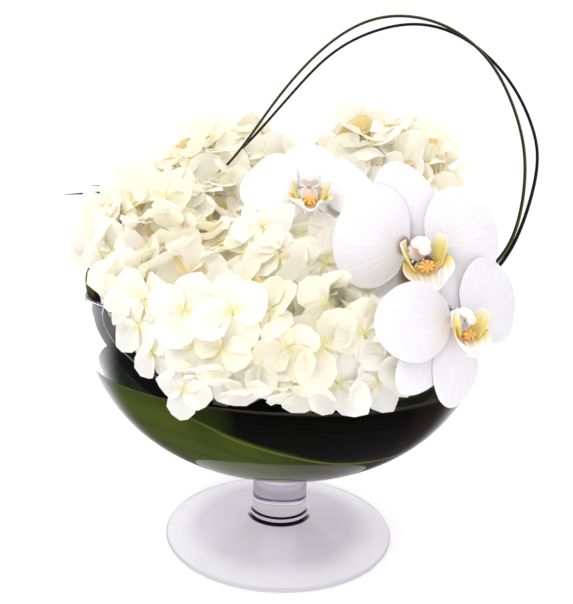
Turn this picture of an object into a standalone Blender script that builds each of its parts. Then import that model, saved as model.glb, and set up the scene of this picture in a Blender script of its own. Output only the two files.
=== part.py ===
"""Floral table centerpiece: a footed glass bowl lined with broad leaves, holding a block of wet floral
foam, five white hydrangea heads, three moth orchid blooms and two long arching blades of grass.

Frame: +Z up, the front of the arrangement faces -Y, and the origin is the middle of the foot's flat
underside, where the glass stands on the table. Units are metres; lengths written in centimetres are
multiplied by CM where they are used.
"""

import math

import bmesh
import bpy
from mathutils import Matrix, Vector

CM = 0.01

# Glass: one fused piece of bowl, stem and foot, turned about the Z axis.
BOWL_RADIUS = 0.1250
BOWL_WIDEST_Z = 0.1500
BOWL_DEPTH = 0.1003
BOWL_POWER = 2.09
RIM_Z = 0.1640
RIM_PULL_IN = 4.0
WALL = 0.0028
FLOOR_GLASS = 0.0045
STEM_RADIUS = 0.0180
STEM_TOP_Z = 0.0430
BOWL_JOIN_RADIUS = 0.0260
FOOT_RADIUS = 0.0752
GLASS_SEGMENTS = 44

# Leaves that line the glass, and the two that stand up inside it.
LEAF_THICKNESS = 0.0006
WATERLINE_Z = 0.1230

# Floral foam, cut to the bowl's shape, with a raised middle that the stems are pushed into.
FOAM_INSET = 0.0125
FOAM_SHOULDER_Z = 0.1195
FOAM_RADIUS = 0.0730
FOAM_TOP_Z = 0.1385

# Clearance between neighbouring solids.
GAP = 0.0004
CHANNEL_GAP = 0.0009

HEAD_UNDERSIDE_Z = 0.1430

# name: centre, radii, in centimetres
HYDRANGEA_HEADS = {
    "front": ((-2.2, -5.2, 14.8), (8.8, 6.6, 6.1)),
    "left": ((-7.0, 1.6, 18.0), (6.2, 6.3, 5.9)),
    "back_left": ((-4.4, 6.0, 20.8), (6.2, 5.9, 6.4)),
    "back_right": ((6.0, 5.6, 21.2), (6.3, 6.0, 6.7)),
    "right": ((7.3, -2.6, 16.2), (5.0, 5.1, 4.3)),
}
# Foot and top of each head's stem, in centimetres.
HYDRANGEA_STEMS = {
    "front": ((-1.0, -2.6, 8.8), (-1.8, -4.6, 14.1)),
    "left": ((-3.6, 0.8, 8.8), (-5.6, 1.3, 14.1)),
    "back_left": ((-1.8, 3.4, 8.8), (-2.6, 5.0, 14.1)),
    "back_right": ((2.6, 3.2, 8.8), (4.0, 4.4, 14.1)),
    "right": ((3.9, -0.9, 8.8), (5.4, -1.8, 14.1)),
}
HYDRANGEA_STEM_RADIUS = 0.0035

# Orchid blooms: centre in centimetres, the way the bloom faces, how far it is turned about that, scale.
ORCHIDS = {
    "upper": ((1.0, -5.3, 23.0), (0.03, -0.70, 0.71), -2.0, 1.0),
    "middle": ((6.3, -9.9, 20.1), (0.08, -0.98, 0.14), 12.0, 1.06),
    "lower": ((8.4, -11.3, 16.9), (0.45, -0.87, 0.20), -6.0, 0.86),
}
# Route of each orchid's stem behind the bloom, down into the foam, in centimetres.
ORCHID_STEM_ROUTES = {
    "upper": ((1.0, -4.2, 21.6), (1.0, -3.2, 19.6), (1.0, -1.6, 16.0), (0.6, -0.4, 10.2)),
    "middle": ((6.2, -8.5, 19.7), (5.8, -7.4, 19.0), (4.0, -4.8, 16.0), (2.2, -2.2, 10.2)),
    "lower": ((9.3, -10.2, 17.0), (10.4, -9.3, 17.2), (10.1, -8.0, 17.4), (8.0, -6.2, 16.8), (4.3, -3.4, 10.2)),
}
ORCHID_STEM_RADIUS = 0.0018
SEPAL = {"length": 0.0400, "width": 0.0270}
SIDE_SEPAL = {"length": 0.0440, "width": 0.0310}
PETAL = {"length": 0.0375, "width": 0.0480}
# Each sepal's turn from the top of the bloom, in degrees, and its size.
SEPALS = {"top_sepal": (0, SEPAL), "left_sepal": (157, SIDE_SEPAL), "right_sepal": (-151, SIDE_SEPAL)}
TEPAL_BASE = 0.0045
TEPAL_THICKNESS = 0.0009
SEPAL_SETBACK = 0.0034
SEPAL_ROOM = 0.0030

# Grass blades: route from the foam, over the arch, to the free tip, in centimetres.
GRASS_ROUTES = {
    "inner": (
        (5.6, -0.6, 10.2), (7.9, -1.3, 14.0), (10.4, -2.3, 17.0), (12.4, -3.0, 18.9),
        (13.7, -2.0, 20.9), (14.3, -1.0, 24.2), (14.0, 0.0, 27.3), (11.9, 0.0, 31.0),
        (8.7, 0.0, 33.1), (5.1, 0.1, 33.4), (2.2, 0.2, 31.9), (-0.6, 0.5, 29.0),
        (-3.6, 1.0, 24.8), (-5.6, 1.6, 23.0), (-8.4, 2.4, 22.3), (-12.0, 3.0, 22.6),
        (-13.4, 3.0, 22.7),
    ),
    "outer": (
        (5.4, 0.6, 10.2), (7.9, -0.4, 13.8), (10.6, -1.9, 16.6), (12.8, -2.5, 18.7),
        (14.4, -1.4, 21.8), (15.2, -0.5, 25.1), (15.1, 0.5, 27.0), (13.5, 0.7, 29.9),
        (10.5, 0.7, 32.4), (7.0, 0.6, 33.2), (2.7, 0.9, 31.7), (-0.6, 1.3, 28.3),
        (-2.7, 1.8, 25.9), (-5.2, 2.6, 23.8), (-8.4, 3.3, 22.8), (-12.0, 3.7, 22.3),
        (-15.4, 3.4, 22.0),
    ),
}
GRASS_BASE_RADIUS = 0.0013
GRASS_TIP_RADIUS = 0.0006


def clear_scene():
    """Removes whatever the scene starts with."""
    for obj in list(bpy.data.objects):
        bpy.data.objects.remove(obj)


def make_material(name, colour, roughness, transmission=0.0):
    """A plain Principled finish."""
    material = bpy.data.materials.new(name)
    material.use_nodes = True
    shader = material.node_tree.nodes["Principled BSDF"]
    shader.inputs["Base Color"].default_value = (*colour, 1.0)
    shader.inputs["Roughness"].default_value = roughness
    shader.inputs["Transmission Weight"].default_value = transmission
    return material


def link_mesh(name, bm, material):
    """Turns a bmesh into an object of the scene."""
    mesh = bpy.data.meshes.new(name)
    bmesh.ops.recalc_face_normals(bm, faces=bm.faces)
    bm.to_mesh(mesh)
    bm.free()
    if material:
        mesh.materials.append(material)
    mesh.shade_smooth()
    mesh.set_sharp_from_angle(angle=math.radians(40))
    obj = bpy.data.objects.new(name, mesh)
    bpy.context.scene.collection.objects.link(obj)
    return obj


def make_helper(obj):
    """Marks an object as a cutter or guide, which is no part of the centerpiece."""
    obj.hide_render = True
    obj.display_type = "WIRE"
    return obj


def turned(name, profile, segments, material):
    """Spins a profile of (radius, height) points that starts and ends on the Z axis."""
    bm = bmesh.new()
    points = [bm.verts.new((radius, 0.0, height)) for radius, height in profile]
    edges = [bm.edges.new(pair) for pair in zip(points, points[1:])]
    bmesh.ops.spin(
        bm, geom=points + edges, cent=(0, 0, 0), axis=(0, 0, 1),
        angle=math.tau, steps=segments, use_merge=True,
    )
    bmesh.ops.remove_doubles(bm, verts=bm.verts, dist=0.00002)
    return link_mesh(name, bm, material)


def sheet(name, rows, thickness, material):
    """A thin closed sheet: a grid of points given row by row, thickened evenly to both sides."""
    bm = bmesh.new()
    grid = [[bm.verts.new(point) for point in row] for row in rows]
    for lower, upper in zip(grid, grid[1:]):
        for i in range(len(lower) - 1):
            bm.faces.new((lower[i], lower[i + 1], upper[i + 1], upper[i]))
    obj = link_mesh(name, bm, material)
    solidify = obj.modifiers.new("Thickness", "SOLIDIFY")
    solidify.thickness = thickness
    solidify.offset = 0.0
    return obj


def smooth_route(points, step):
    """Points at roughly equal steps along a Catmull-Rom curve through the given points."""
    ends = [2 * points[0] - points[1], *points, 2 * points[-1] - points[-2]]
    route = []
    for before, start, end, after in zip(ends, ends[1:], ends[2:], ends[3:]):
        pieces = max(1, round((end - start).length / step))
        for i in range(pieces):
            t = i / pieces
            route.append(0.5 * (
                2 * start + (end - before) * t
                + (2 * before - 5 * start + 4 * end - after) * t**2
                + (3 * start - before - 3 * end + after) * t**3
            ))
    return [*route, points[-1]]


def tube(name, route, start_radius, end_radius, material, sides_level=1):
    """A round stem along a route, tapering evenly from one end to the other."""
    curve = bpy.data.curves.new(name, "CURVE")
    curve.dimensions = "3D"
    curve.bevel_depth = 1.0
    curve.bevel_resolution = sides_level
    curve.use_fill_caps = True
    spline = curve.splines.new("POLY")
    spline.points.add(len(route) - 1)
    for i, place in enumerate(route):
        spline.points[i].co = (*place, 1.0)
        spline.points[i].radius = start_radius + (end_radius - start_radius) * i / (len(route) - 1)
    if material:
        curve.materials.append(material)
    obj = bpy.data.objects.new(name, curve)
    bpy.context.scene.collection.objects.link(obj)
    return obj


def deeper(route):
    """A route drawn out a little at its lower end, so that a hole is deeper than its stem is long."""
    low, high = sorted((0, -1), key=lambda end: route[end].z)
    inner = route[1] if low == 0 else route[-2]
    further = route[low] + (route[low] - inner).normalized() * 0.0006
    return [further, *route] if low == 0 else [*route, further]


def as_mesh(obj):
    """Replaces a curve object by the mesh it draws, so that a Boolean can use it."""
    graph = bpy.context.evaluated_depsgraph_get()
    mesh = bpy.data.meshes.new_from_object(obj.evaluated_get(graph))
    bm = bmesh.new()
    bm.from_mesh(mesh)
    bmesh.ops.remove_doubles(bm, verts=bm.verts, dist=0.00002)
    bmesh.ops.recalc_face_normals(bm, faces=bm.faces)
    bm.to_mesh(mesh)
    bm.free()
    made = bpy.data.objects.new(obj.name + "_mesh", mesh)
    bpy.context.scene.collection.objects.link(made)
    bpy.data.objects.remove(obj)
    return made


def channel(name, route, radius):
    """A cutter that leaves room round a stem."""
    return make_helper(as_mesh(tube(name, route, radius, radius, None)))


def cut(obj, cutter, operation="DIFFERENCE"):
    """Adds a Boolean to an object."""
    modifier = obj.modifiers.new(cutter.name, "BOOLEAN")
    modifier.operation = operation
    modifier.solver = "EXACT"
    modifier.object = cutter


def bowl_outline(radius, depth, z):
    """Radius at height z of a bowl of this largest radius and this depth below its widest level."""
    if z >= BOWL_WIDEST_Z:
        return radius - RIM_PULL_IN * (z - BOWL_WIDEST_Z) ** 2
    share = min(1.0, (BOWL_WIDEST_Z - z) / depth)
    return radius * (1 - share**BOWL_POWER) ** (1 / BOWL_POWER)


def inside_wall(z, offset=0.0):
    """Radius at height z of the bowl's inner wall, moved inwards by offset."""
    return bowl_outline(BOWL_RADIUS - WALL - offset, BOWL_DEPTH - FLOOR_GLASS - offset, z)


def bowl_curve(radius, depth, start_angle, steps):
    """(radius, height) points down a bowl's side, from its widest level at angle 0 to its pole at 90."""
    points = []
    for i in range(steps + 1):
        angle = start_angle + (math.pi / 2 - start_angle) * i / steps
        across = max(0.0, math.cos(angle)) ** (2 / BOWL_POWER)
        down = math.sin(angle) ** (2 / BOWL_POWER)
        points.append((radius * across, BOWL_WIDEST_Z - depth * down))
    return points


def glass_profile():
    """The footed bowl's section: the foot, the stem with its collar, the bowl outside, then inside."""
    foot = [(0.0, 0.0), (7.35, 0.0), (7.50, 0.07), (7.52, 0.20), (7.40, 0.32), (5.60, 0.52),
            (3.70, 0.84), (2.30, 1.20), (1.90, 1.30), (1.98, 1.44), (1.98, 1.62), (1.86, 1.80)]
    profile = [(radius * CM, height * CM) for radius, height in foot]
    profile += [(STEM_RADIUS, 0.0200), (STEM_RADIUS, STEM_TOP_Z), (0.0192, 0.0480)]
    outside = [p for p in bowl_curve(BOWL_RADIUS, BOWL_DEPTH, 0.0, 12) if p[0] > BOWL_JOIN_RADIUS]
    profile += reversed(outside)
    rim = bowl_outline(BOWL_RADIUS, BOWL_DEPTH, RIM_Z)
    profile += [(rim, RIM_Z - 0.0010), (rim - WALL / 2, RIM_Z), (rim - WALL, RIM_Z - 0.0010)]
    inside = bowl_curve(BOWL_RADIUS - WALL, BOWL_DEPTH - FLOOR_GLASS, 0.0, 12)
    return profile + inside[:-1] + [(0.0, inside[-1][1])]


def build_glass(material):
    turned("footed_glass_bowl", glass_profile(), GLASS_SEGMENTS, material)


def blade_width(t):
    """Share of a broad leaf's full width at t from stalk to tip."""
    return max(0.04, math.sin(math.pi * min(1.0, t * 0.96 + 0.02)) ** 0.55)


def lining_leaf(name, turn_from, turn_to, middle, half_height, offset, material, columns=20, rows=6):
    """A broad leaf wrapped round the inside of the bowl, below the waterline.

    middle and half_height are angles down the bowl's side, in degrees, of the leaf's midrib and half width.
    """
    radius = BOWL_RADIUS - WALL - offset
    depth = BOWL_DEPTH - FLOOR_GLASS - offset
    top = math.degrees(math.asin(((BOWL_WIDEST_Z - WATERLINE_Z) / depth) ** (BOWL_POWER / 2)))
    grid = []
    for j in range(rows + 1):
        across = -1 + 2 * j / rows
        row = []
        for i in range(columns + 1):
            t = i / columns
            turn = math.radians(turn_from + (turn_to - turn_from) * t)
            angle = max(top, middle + across * half_height * blade_width(t) - 0.001 * (rows - j))
            angle = math.radians(min(80.0, max(angle, top + (across + 1) * 1.5)))
            reach = radius * math.cos(angle) ** (2 / BOWL_POWER)
            z = BOWL_WIDEST_Z - depth * math.sin(angle) ** (2 / BOWL_POWER)
            row.append((reach * math.cos(turn), reach * math.sin(turn), z))
        grid.append(row)
    return sheet(name, grid, LEAF_THICKNESS, material)


def standing_leaf(name, route, inset, material, columns=16, rows=3):
    """A leaf that stands inside the glass. route lists (turn in degrees, top z, bottom z) in centimetres."""
    grid = [[] for _ in range(rows + 1)]
    stops = len(route) - 1
    for i in range(columns + 1):
        place = stops * i / columns
        first = min(int(place), stops - 1)
        share = place - first
        turn, top, bottom = (a + (b - a) * share for a, b in zip(route[first], route[first + 1]))
        for j in range(rows + 1):
            z = (bottom + (top - bottom) * j / rows) * CM
            lean = max(0.0, 0.1560 - z) * 0.30
            above = max(0.0, z - RIM_Z)
            reach = min(inside_wall(min(z, RIM_Z), 0.0040), 0.1180 - lean) - inset + above * 0.9
            angle = math.radians(turn)
            grid[j].append((reach * math.cos(angle), reach * math.sin(angle), z))
    return sheet(name, grid, LEAF_THICKNESS, material)


def build_leaves(green, brown, purple):
    lining_leaf("lining_leaf_front", -212, 8, 46, 30, 0.0014, green)
    lining_leaf("lining_leaf_right", -62, 110, 46, 30, 0.0032, brown)
    lining_leaf("lining_leaf_back", 70, 205, 46, 30, 0.0050, green)
    standing_leaf(
        "standing_leaf_purple",
        ((172, 17.6, 15.6), (183, 17.3, 13.6), (196, 16.0, 11.6), (212, 14.5, 10.4),
         (228, 13.6, 10.0), (246, 13.2, 10.2), (264, 13.1, 10.6), (282, 13.2, 11.0), (300, 12.9, 11.6)),
        0.0, purple,
    )
    standing_leaf(
        "standing_leaf_green",
        ((160, 17.0, 13.8), (168, 17.1, 12.6), (182, 15.6, 11.4), (198, 14.6, 10.9), (214, 13.6, 10.8)),
        0.0030, green, columns=10,
    )


def build_foam(material, channels):
    radius = BOWL_RADIUS - WALL - FOAM_INSET
    depth = BOWL_DEPTH - FLOOR_GLASS - FOAM_INSET
    side = [p for p in bowl_curve(radius, depth, 0.0, 12) if p[1] < FOAM_SHOULDER_Z - 0.002]
    shoulder = bowl_outline(radius, depth, FOAM_SHOULDER_Z)
    profile = [(0.0, FOAM_TOP_Z), (FOAM_RADIUS - 0.006, FOAM_TOP_Z), (FOAM_RADIUS, FOAM_TOP_Z - 0.006),
               (FOAM_RADIUS, FOAM_SHOULDER_Z), (shoulder, FOAM_SHOULDER_Z)]
    foam = turned("floral_foam", [*profile, *side[:-1], (0.0, side[-1][1])], 32, material)
    for cutter in channels:
        cut(foam, cutter)


def flower_room(material):
    """The space that flower heads may fill: inside the standing leaves, and wider above the rim."""
    outline = [(0.0, HEAD_UNDERSIDE_Z), (0.0800, HEAD_UNDERSIDE_Z), (0.0800, WATERLINE_Z),
               (0.1040, WATERLINE_Z), (0.1118, 0.1600), (0.1122, 0.1700), (0.1450, 0.1840),
               (0.1450, 0.3100), (0.0, 0.3100)]
    return make_helper(turned("flower_room", outline, 36, material))


def neighbours():
    """Pairs of heads whose ellipsoids meet, each with the plane half way between them by size."""
    names = list(HYDRANGEA_HEADS)
    for i, first in enumerate(names):
        for second in names[i + 1:]:
            here, here_radii = (Vector(v) * CM for v in HYDRANGEA_HEADS[first])
            there, there_radii = (Vector(v) * CM for v in HYDRANGEA_HEADS[second])
            line = there - here
            way = line.normalized()
            reach = 1 / Vector(w / r for w, r in zip(way, here_radii)).length
            other_reach = 1 / Vector(w / r for w, r in zip(way, there_radii)).length
            if reach + other_reach > line.length:
                share = reach / (reach + other_reach)
                yield first, second, here + line * share, way


def sepal_matrix(name, part):
    """Frame of one sepal of a bloom, behind its petals."""
    # The lower left sepal lies a little further back, so that it passes behind its twin.
    setback = SEPAL_SETBACK + (0.0016 if part == "left_sepal" else 0.0)
    turn = Matrix.Rotation(math.radians(SEPALS[part][0]), 4, "Z")
    return bloom_matrix(name) @ Matrix.Translation((0, 0, -setback)) @ turn


def sepal_rows(part):
    size = SEPALS[part][1]
    return tepal_rows(size["length"], size["width"], 1.5, -0.0015, 0.0)


def sepal_room(name, part):
    """A cutter that leaves room in a head for the sepal tucked into it."""
    rows = placed(sepal_rows(part), sepal_matrix(name, part) @ Matrix.Scale(1.06, 4))
    return make_helper(sheet(f"room_{name}_{part}", rows, SEPAL_ROOM, None))


def build_hydrangea_heads(material, channels):
    planes = list(neighbours())
    room = flower_room(material)
    for name, (centre, radii) in HYDRANGEA_HEADS.items():
        bm = bmesh.new()
        bmesh.ops.create_icosphere(bm, subdivisions=3, radius=1.0)
        size = Matrix.Diagonal((*(Vector(radii) * CM), 1.0))
        bmesh.ops.transform(bm, matrix=Matrix.Translation(Vector(centre) * CM) @ size, verts=bm.verts)
        for first, second, point, way in planes:
            if name in (first, second):
                outward = way if name == first else -way
                cut_edges = bmesh.ops.bisect_plane(
                    bm, geom=bm.verts[:] + bm.edges[:] + bm.faces[:],
                    plane_co=point - outward * GAP, plane_no=outward, clear_outer=True,
                )["geom_cut"]
                bmesh.ops.holes_fill(bm, edges=[e for e in cut_edges if isinstance(e, bmesh.types.BMEdge)])
        head = link_mesh("hydrangea_head_" + name, bm, material)
        cut(head, room, "INTERSECT")
        for cutter in channels:
            cut(head, cutter)


def tepal_rows(length, width, blunt, rise, cup, rows=5, columns=4):
    """Grid of one orchid sepal or petal, its base at TEPAL_BASE from the bloom's middle, along +Y.

    blunt above 1 gives a broad rounded petal, rise bends the tip forwards, and cup lifts the sides.
    """
    grid = []
    for j in range(rows + 1):
        t = j / rows
        half = width / 2 * max(0.16, math.sin(math.pi * (0.10 + 0.84 * t)) ** (1 / blunt))
        row = []
        for i in range(columns + 1):
            side = -1 + 2 * i / columns
            reach = TEPAL_BASE + length * t * (1 - 0.10 * side**2)
            row.append((half * side, reach, rise * t**2 + cup * side**2 * t))
        grid.append(row)
    return grid


def placed(rows, matrix):
    """A grid moved by a matrix."""
    return [[matrix @ Vector(point) for point in row] for row in rows]


def bloom_matrix(name):
    """Frame of a bloom: +Z faces out of it, +Y is the way its top sepal points."""
    centre, facing, roll, scale = ORCHIDS[name]
    forward = Vector(facing).normalized()
    right = Vector((0, 0, 1)).cross(forward).normalized()
    up = forward.cross(right)
    basis = Matrix((right, up, forward)).transposed().to_4x4()
    turn = Matrix.Rotation(math.radians(roll), 4, "Z")
    return Matrix.Translation(Vector(centre) * CM) @ basis @ turn @ Matrix.Scale(scale, 4)


def lip_rows(rows=5, columns=6):
    """Grid of the lip: a scoop whose sides stand up near the column and whose front is a narrow tongue."""
    along = Vector((0, -0.80, 0.60))
    down = Vector((0, -0.60, -0.80))
    grid = []
    for j in range(rows + 1):
        t = j / rows
        middle = Vector((0, -0.0040, 0.0085)) + along * 0.0120 * t
        spread = math.radians(112 - 92 * t**0.8)
        reach = 0.0072 * (1 - 0.35 * t)
        row = []
        for i in range(columns + 1):
            angle = spread * (-1 + 2 * i / columns)
            row.append(middle + reach * (Vector((math.sin(angle), 0, 0)) + math.cos(angle) * down))
        grid.append(row)
    return grid


def build_orchid(name, white, lip_colour):
    """One moth orchid bloom: three sepals behind, two broad petals, the lip and the column."""
    frame = bloom_matrix(name)
    for part in SEPALS:
        rows = placed(sepal_rows(part), sepal_matrix(name, part))
        sheet(f"{name}_orchid_{part}", rows, TEPAL_THICKNESS, white)
    for part, turn in (("left_petal", 76), ("right_petal", -76)):
        matrix = frame @ Matrix.Rotation(math.radians(turn), 4, "Z")
        rows = tepal_rows(PETAL["length"], PETAL["width"], 2.2, 0.0025, 0.0)
        sheet(f"{name}_orchid_{part}", placed(rows, matrix), TEPAL_THICKNESS, white)
    sheet(f"{name}_orchid_lip", placed(lip_rows(), frame), TEPAL_THICKNESS, lip_colour)
    bm = bmesh.new()
    bmesh.ops.create_icosphere(bm, subdivisions=2, radius=1.0)
    size = Matrix.Diagonal((0.0026, 0.0027, 0.0058, 1.0))
    bmesh.ops.transform(bm, matrix=frame @ Matrix.Translation((0, 0.0002, 0.0036)) @ size, verts=bm.verts)
    link_mesh(f"{name}_orchid_column", bm, white)


def orchid_stem_route(name):
    """From just behind the bloom, backwards and down to the foam."""
    frame = bloom_matrix(name)
    start = frame @ Vector((0, 0, -0.0066))
    route = [start, *(Vector(point) * CM for point in ORCHID_STEM_ROUTES[name])]
    return smooth_route(route, 0.008)


def main():
    clear_scene()
    glass = make_material("clear_glass", (0.95, 0.97, 0.98), 0.02, transmission=1.0)
    green = make_material("green_leaf", (0.10, 0.19, 0.03), 0.4)
    brown = make_material("bronze_leaf", (0.13, 0.09, 0.04), 0.4)
    purple = make_material("purple_leaf", (0.06, 0.03, 0.05), 0.35)
    foam_green = make_material("foam_green", (0.07, 0.20, 0.08), 0.9)
    cream = make_material("hydrangea_cream", (0.93, 0.90, 0.74), 0.6)
    stem_green = make_material("stem_green", (0.27, 0.36, 0.12), 0.5)
    orchid_white = make_material("orchid_white", (0.94, 0.92, 0.93), 0.5)
    lip_yellow = make_material("orchid_lip", (0.92, 0.75, 0.35), 0.5)
    grass_green = make_material("grass_green", (0.10, 0.16, 0.05), 0.4)

    head_stems = {
        name: smooth_route([Vector(p) * CM for p in ends], 0.03) for name, ends in HYDRANGEA_STEMS.items()
    }
    orchid_stems = {name: orchid_stem_route(name) for name in ORCHIDS}
    blades = {name: smooth_route([Vector(p) * CM for p in r], 0.014) for name, r in GRASS_ROUTES.items()}

    head_stem_room = HYDRANGEA_STEM_RADIUS + CHANNEL_GAP
    foam_channels = [channel("room_" + n, deeper(r), head_stem_room) for n, r in head_stems.items()]
    thin_room = {**orchid_stems, **blades}
    thin_radius = ORCHID_STEM_RADIUS + CHANNEL_GAP
    thin_channels = [channel("thin_room_" + n, deeper(r), thin_radius) for n, r in thin_room.items()]

    build_glass(glass)
    build_leaves(green, brown, purple)
    build_foam(foam_green, foam_channels + thin_channels)
    tucked = [sepal_room("upper", part) for part in ("left_sepal", "right_sepal")]
    build_hydrangea_heads(cream, thin_channels + tucked)
    for name, route in head_stems.items():
        tube("hydrangea_stem_" + name, route, HYDRANGEA_STEM_RADIUS, HYDRANGEA_STEM_RADIUS, stem_green)
    for name in ORCHIDS:
        build_orchid(name, orchid_white, lip_yellow)
        tube(f"{name}_orchid_stem", orchid_stems[name], ORCHID_STEM_RADIUS, ORCHID_STEM_RADIUS, stem_green)
    for name, route in blades.items():
        tube("grass_blade_" + name, route, GRASS_BASE_RADIUS, GRASS_TIP_RADIUS, grass_green)


main()
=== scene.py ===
"""Looks of a floral table centerpiece.

A clear footed bowl lined with broad leaves holds five white hydrangea heads, three moth orchid blooms and
two long arching blades of grass. Lengths are metres, +Z is up and the front faces -Y; places inside the
classes are written in centimetres and multiplied by CM.
"""

import logging
import math
import random
from dataclasses import dataclass, field
from enum import Enum
from typing import Callable, Iterable, Sequence

import bpy
from mathutils import Matrix, Vector, noise


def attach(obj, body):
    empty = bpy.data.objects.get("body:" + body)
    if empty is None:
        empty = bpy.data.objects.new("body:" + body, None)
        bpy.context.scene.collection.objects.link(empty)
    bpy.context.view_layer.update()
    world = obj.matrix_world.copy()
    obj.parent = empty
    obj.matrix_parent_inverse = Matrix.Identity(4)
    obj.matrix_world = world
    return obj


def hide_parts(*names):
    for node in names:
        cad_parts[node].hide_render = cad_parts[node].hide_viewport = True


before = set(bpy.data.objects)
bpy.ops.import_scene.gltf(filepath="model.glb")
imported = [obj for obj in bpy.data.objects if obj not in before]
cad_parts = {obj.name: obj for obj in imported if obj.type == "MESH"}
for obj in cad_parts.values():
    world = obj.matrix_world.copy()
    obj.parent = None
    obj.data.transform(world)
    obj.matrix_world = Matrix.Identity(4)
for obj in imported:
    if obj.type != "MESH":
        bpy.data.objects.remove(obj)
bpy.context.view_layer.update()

log = logging.getLogger("centerpiece")

CM = 0.01
ROOT = "root"
UV_NAME = "UVMap"
Colour = tuple[float, float, float]
Stops = tuple[tuple[float, Colour], ...]
Place = tuple[float, float, float]
Shape = Callable[[float, float], Vector]

# The bowl's shape, shared by everything that lies against its wall.
BOWL_RADIUS = 0.1250
BOWL_WIDEST_Z = 0.1500
BOWL_DEPTH = 0.1003
BOWL_POWER = 2.09
RIM_Z = 0.1640
RIM_PULL_IN = 4.0
WALL = 0.0028
FLOOR_GLASS = 0.0045
WATERLINE_Z = 0.1230


class Slot(Enum):
    """The record's material slots, passed along with new pieces."""

    GLASS = "clear_glass"
    GREEN_LEAF = "green_leaf"
    BRONZE_LEAF = "bronze_leaf"
    PURPLE_LEAF = "purple_leaf"
    HYDRANGEA = "hydrangea_petals"
    STEM = "green_stem"
    ORCHID = "orchid_petals"
    LIP = "orchid_lip"
    GRASS = "grass"


# ---- Shader building ----


class Wire:
    """One output socket of a material's nodes, usable in sums."""

    def __init__(self, graph: "Graph", socket: bpy.types.NodeSocket | None) -> None:
        """Keeps the socket, if its node has one, and the graph it belongs to."""
        self.graph = graph
        self.socket = socket

    def _math(self, operation: str, *values: "Wire | float") -> "Wire":
        """Adds one Math node."""
        return self.graph.node("ShaderNodeMath", {"operation": operation}, dict(enumerate(values)))

    def __add__(self, other: "Wire | float") -> "Wire":
        """self + other."""
        return self._math("ADD", self, other)

    __radd__ = __add__

    def __sub__(self, other: "Wire | float") -> "Wire":
        """self - other."""
        return self._math("SUBTRACT", self, other)

    def __rsub__(self, other: float) -> "Wire":
        """other - self."""
        return self._math("SUBTRACT", other, self)

    def __mul__(self, other: "Wire | float") -> "Wire":
        """self * other."""
        return self._math("MULTIPLY", self, other)

    __rmul__ = __mul__

    def __pow__(self, other: float) -> "Wire":
        """self to the power of other."""
        return self._math("POWER", self, other)

    def __abs__(self) -> "Wire":
        """Size of self without its sign."""
        return self._math("ABSOLUTE", self)

    def sine(self) -> "Wire":
        """Sine of self, in radians."""
        return self._math("SINE", self)

    def step(self, low: float, high: float) -> "Wire":
        """Rises smoothly from 0 at low to 1 at high."""
        settings = {"interpolation_type": "SMOOTHSTEP"}
        return self.graph.node("ShaderNodeMapRange", settings, {0: self, 1: low, 2: high, 3: 0.0, 4: 1.0})


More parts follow.
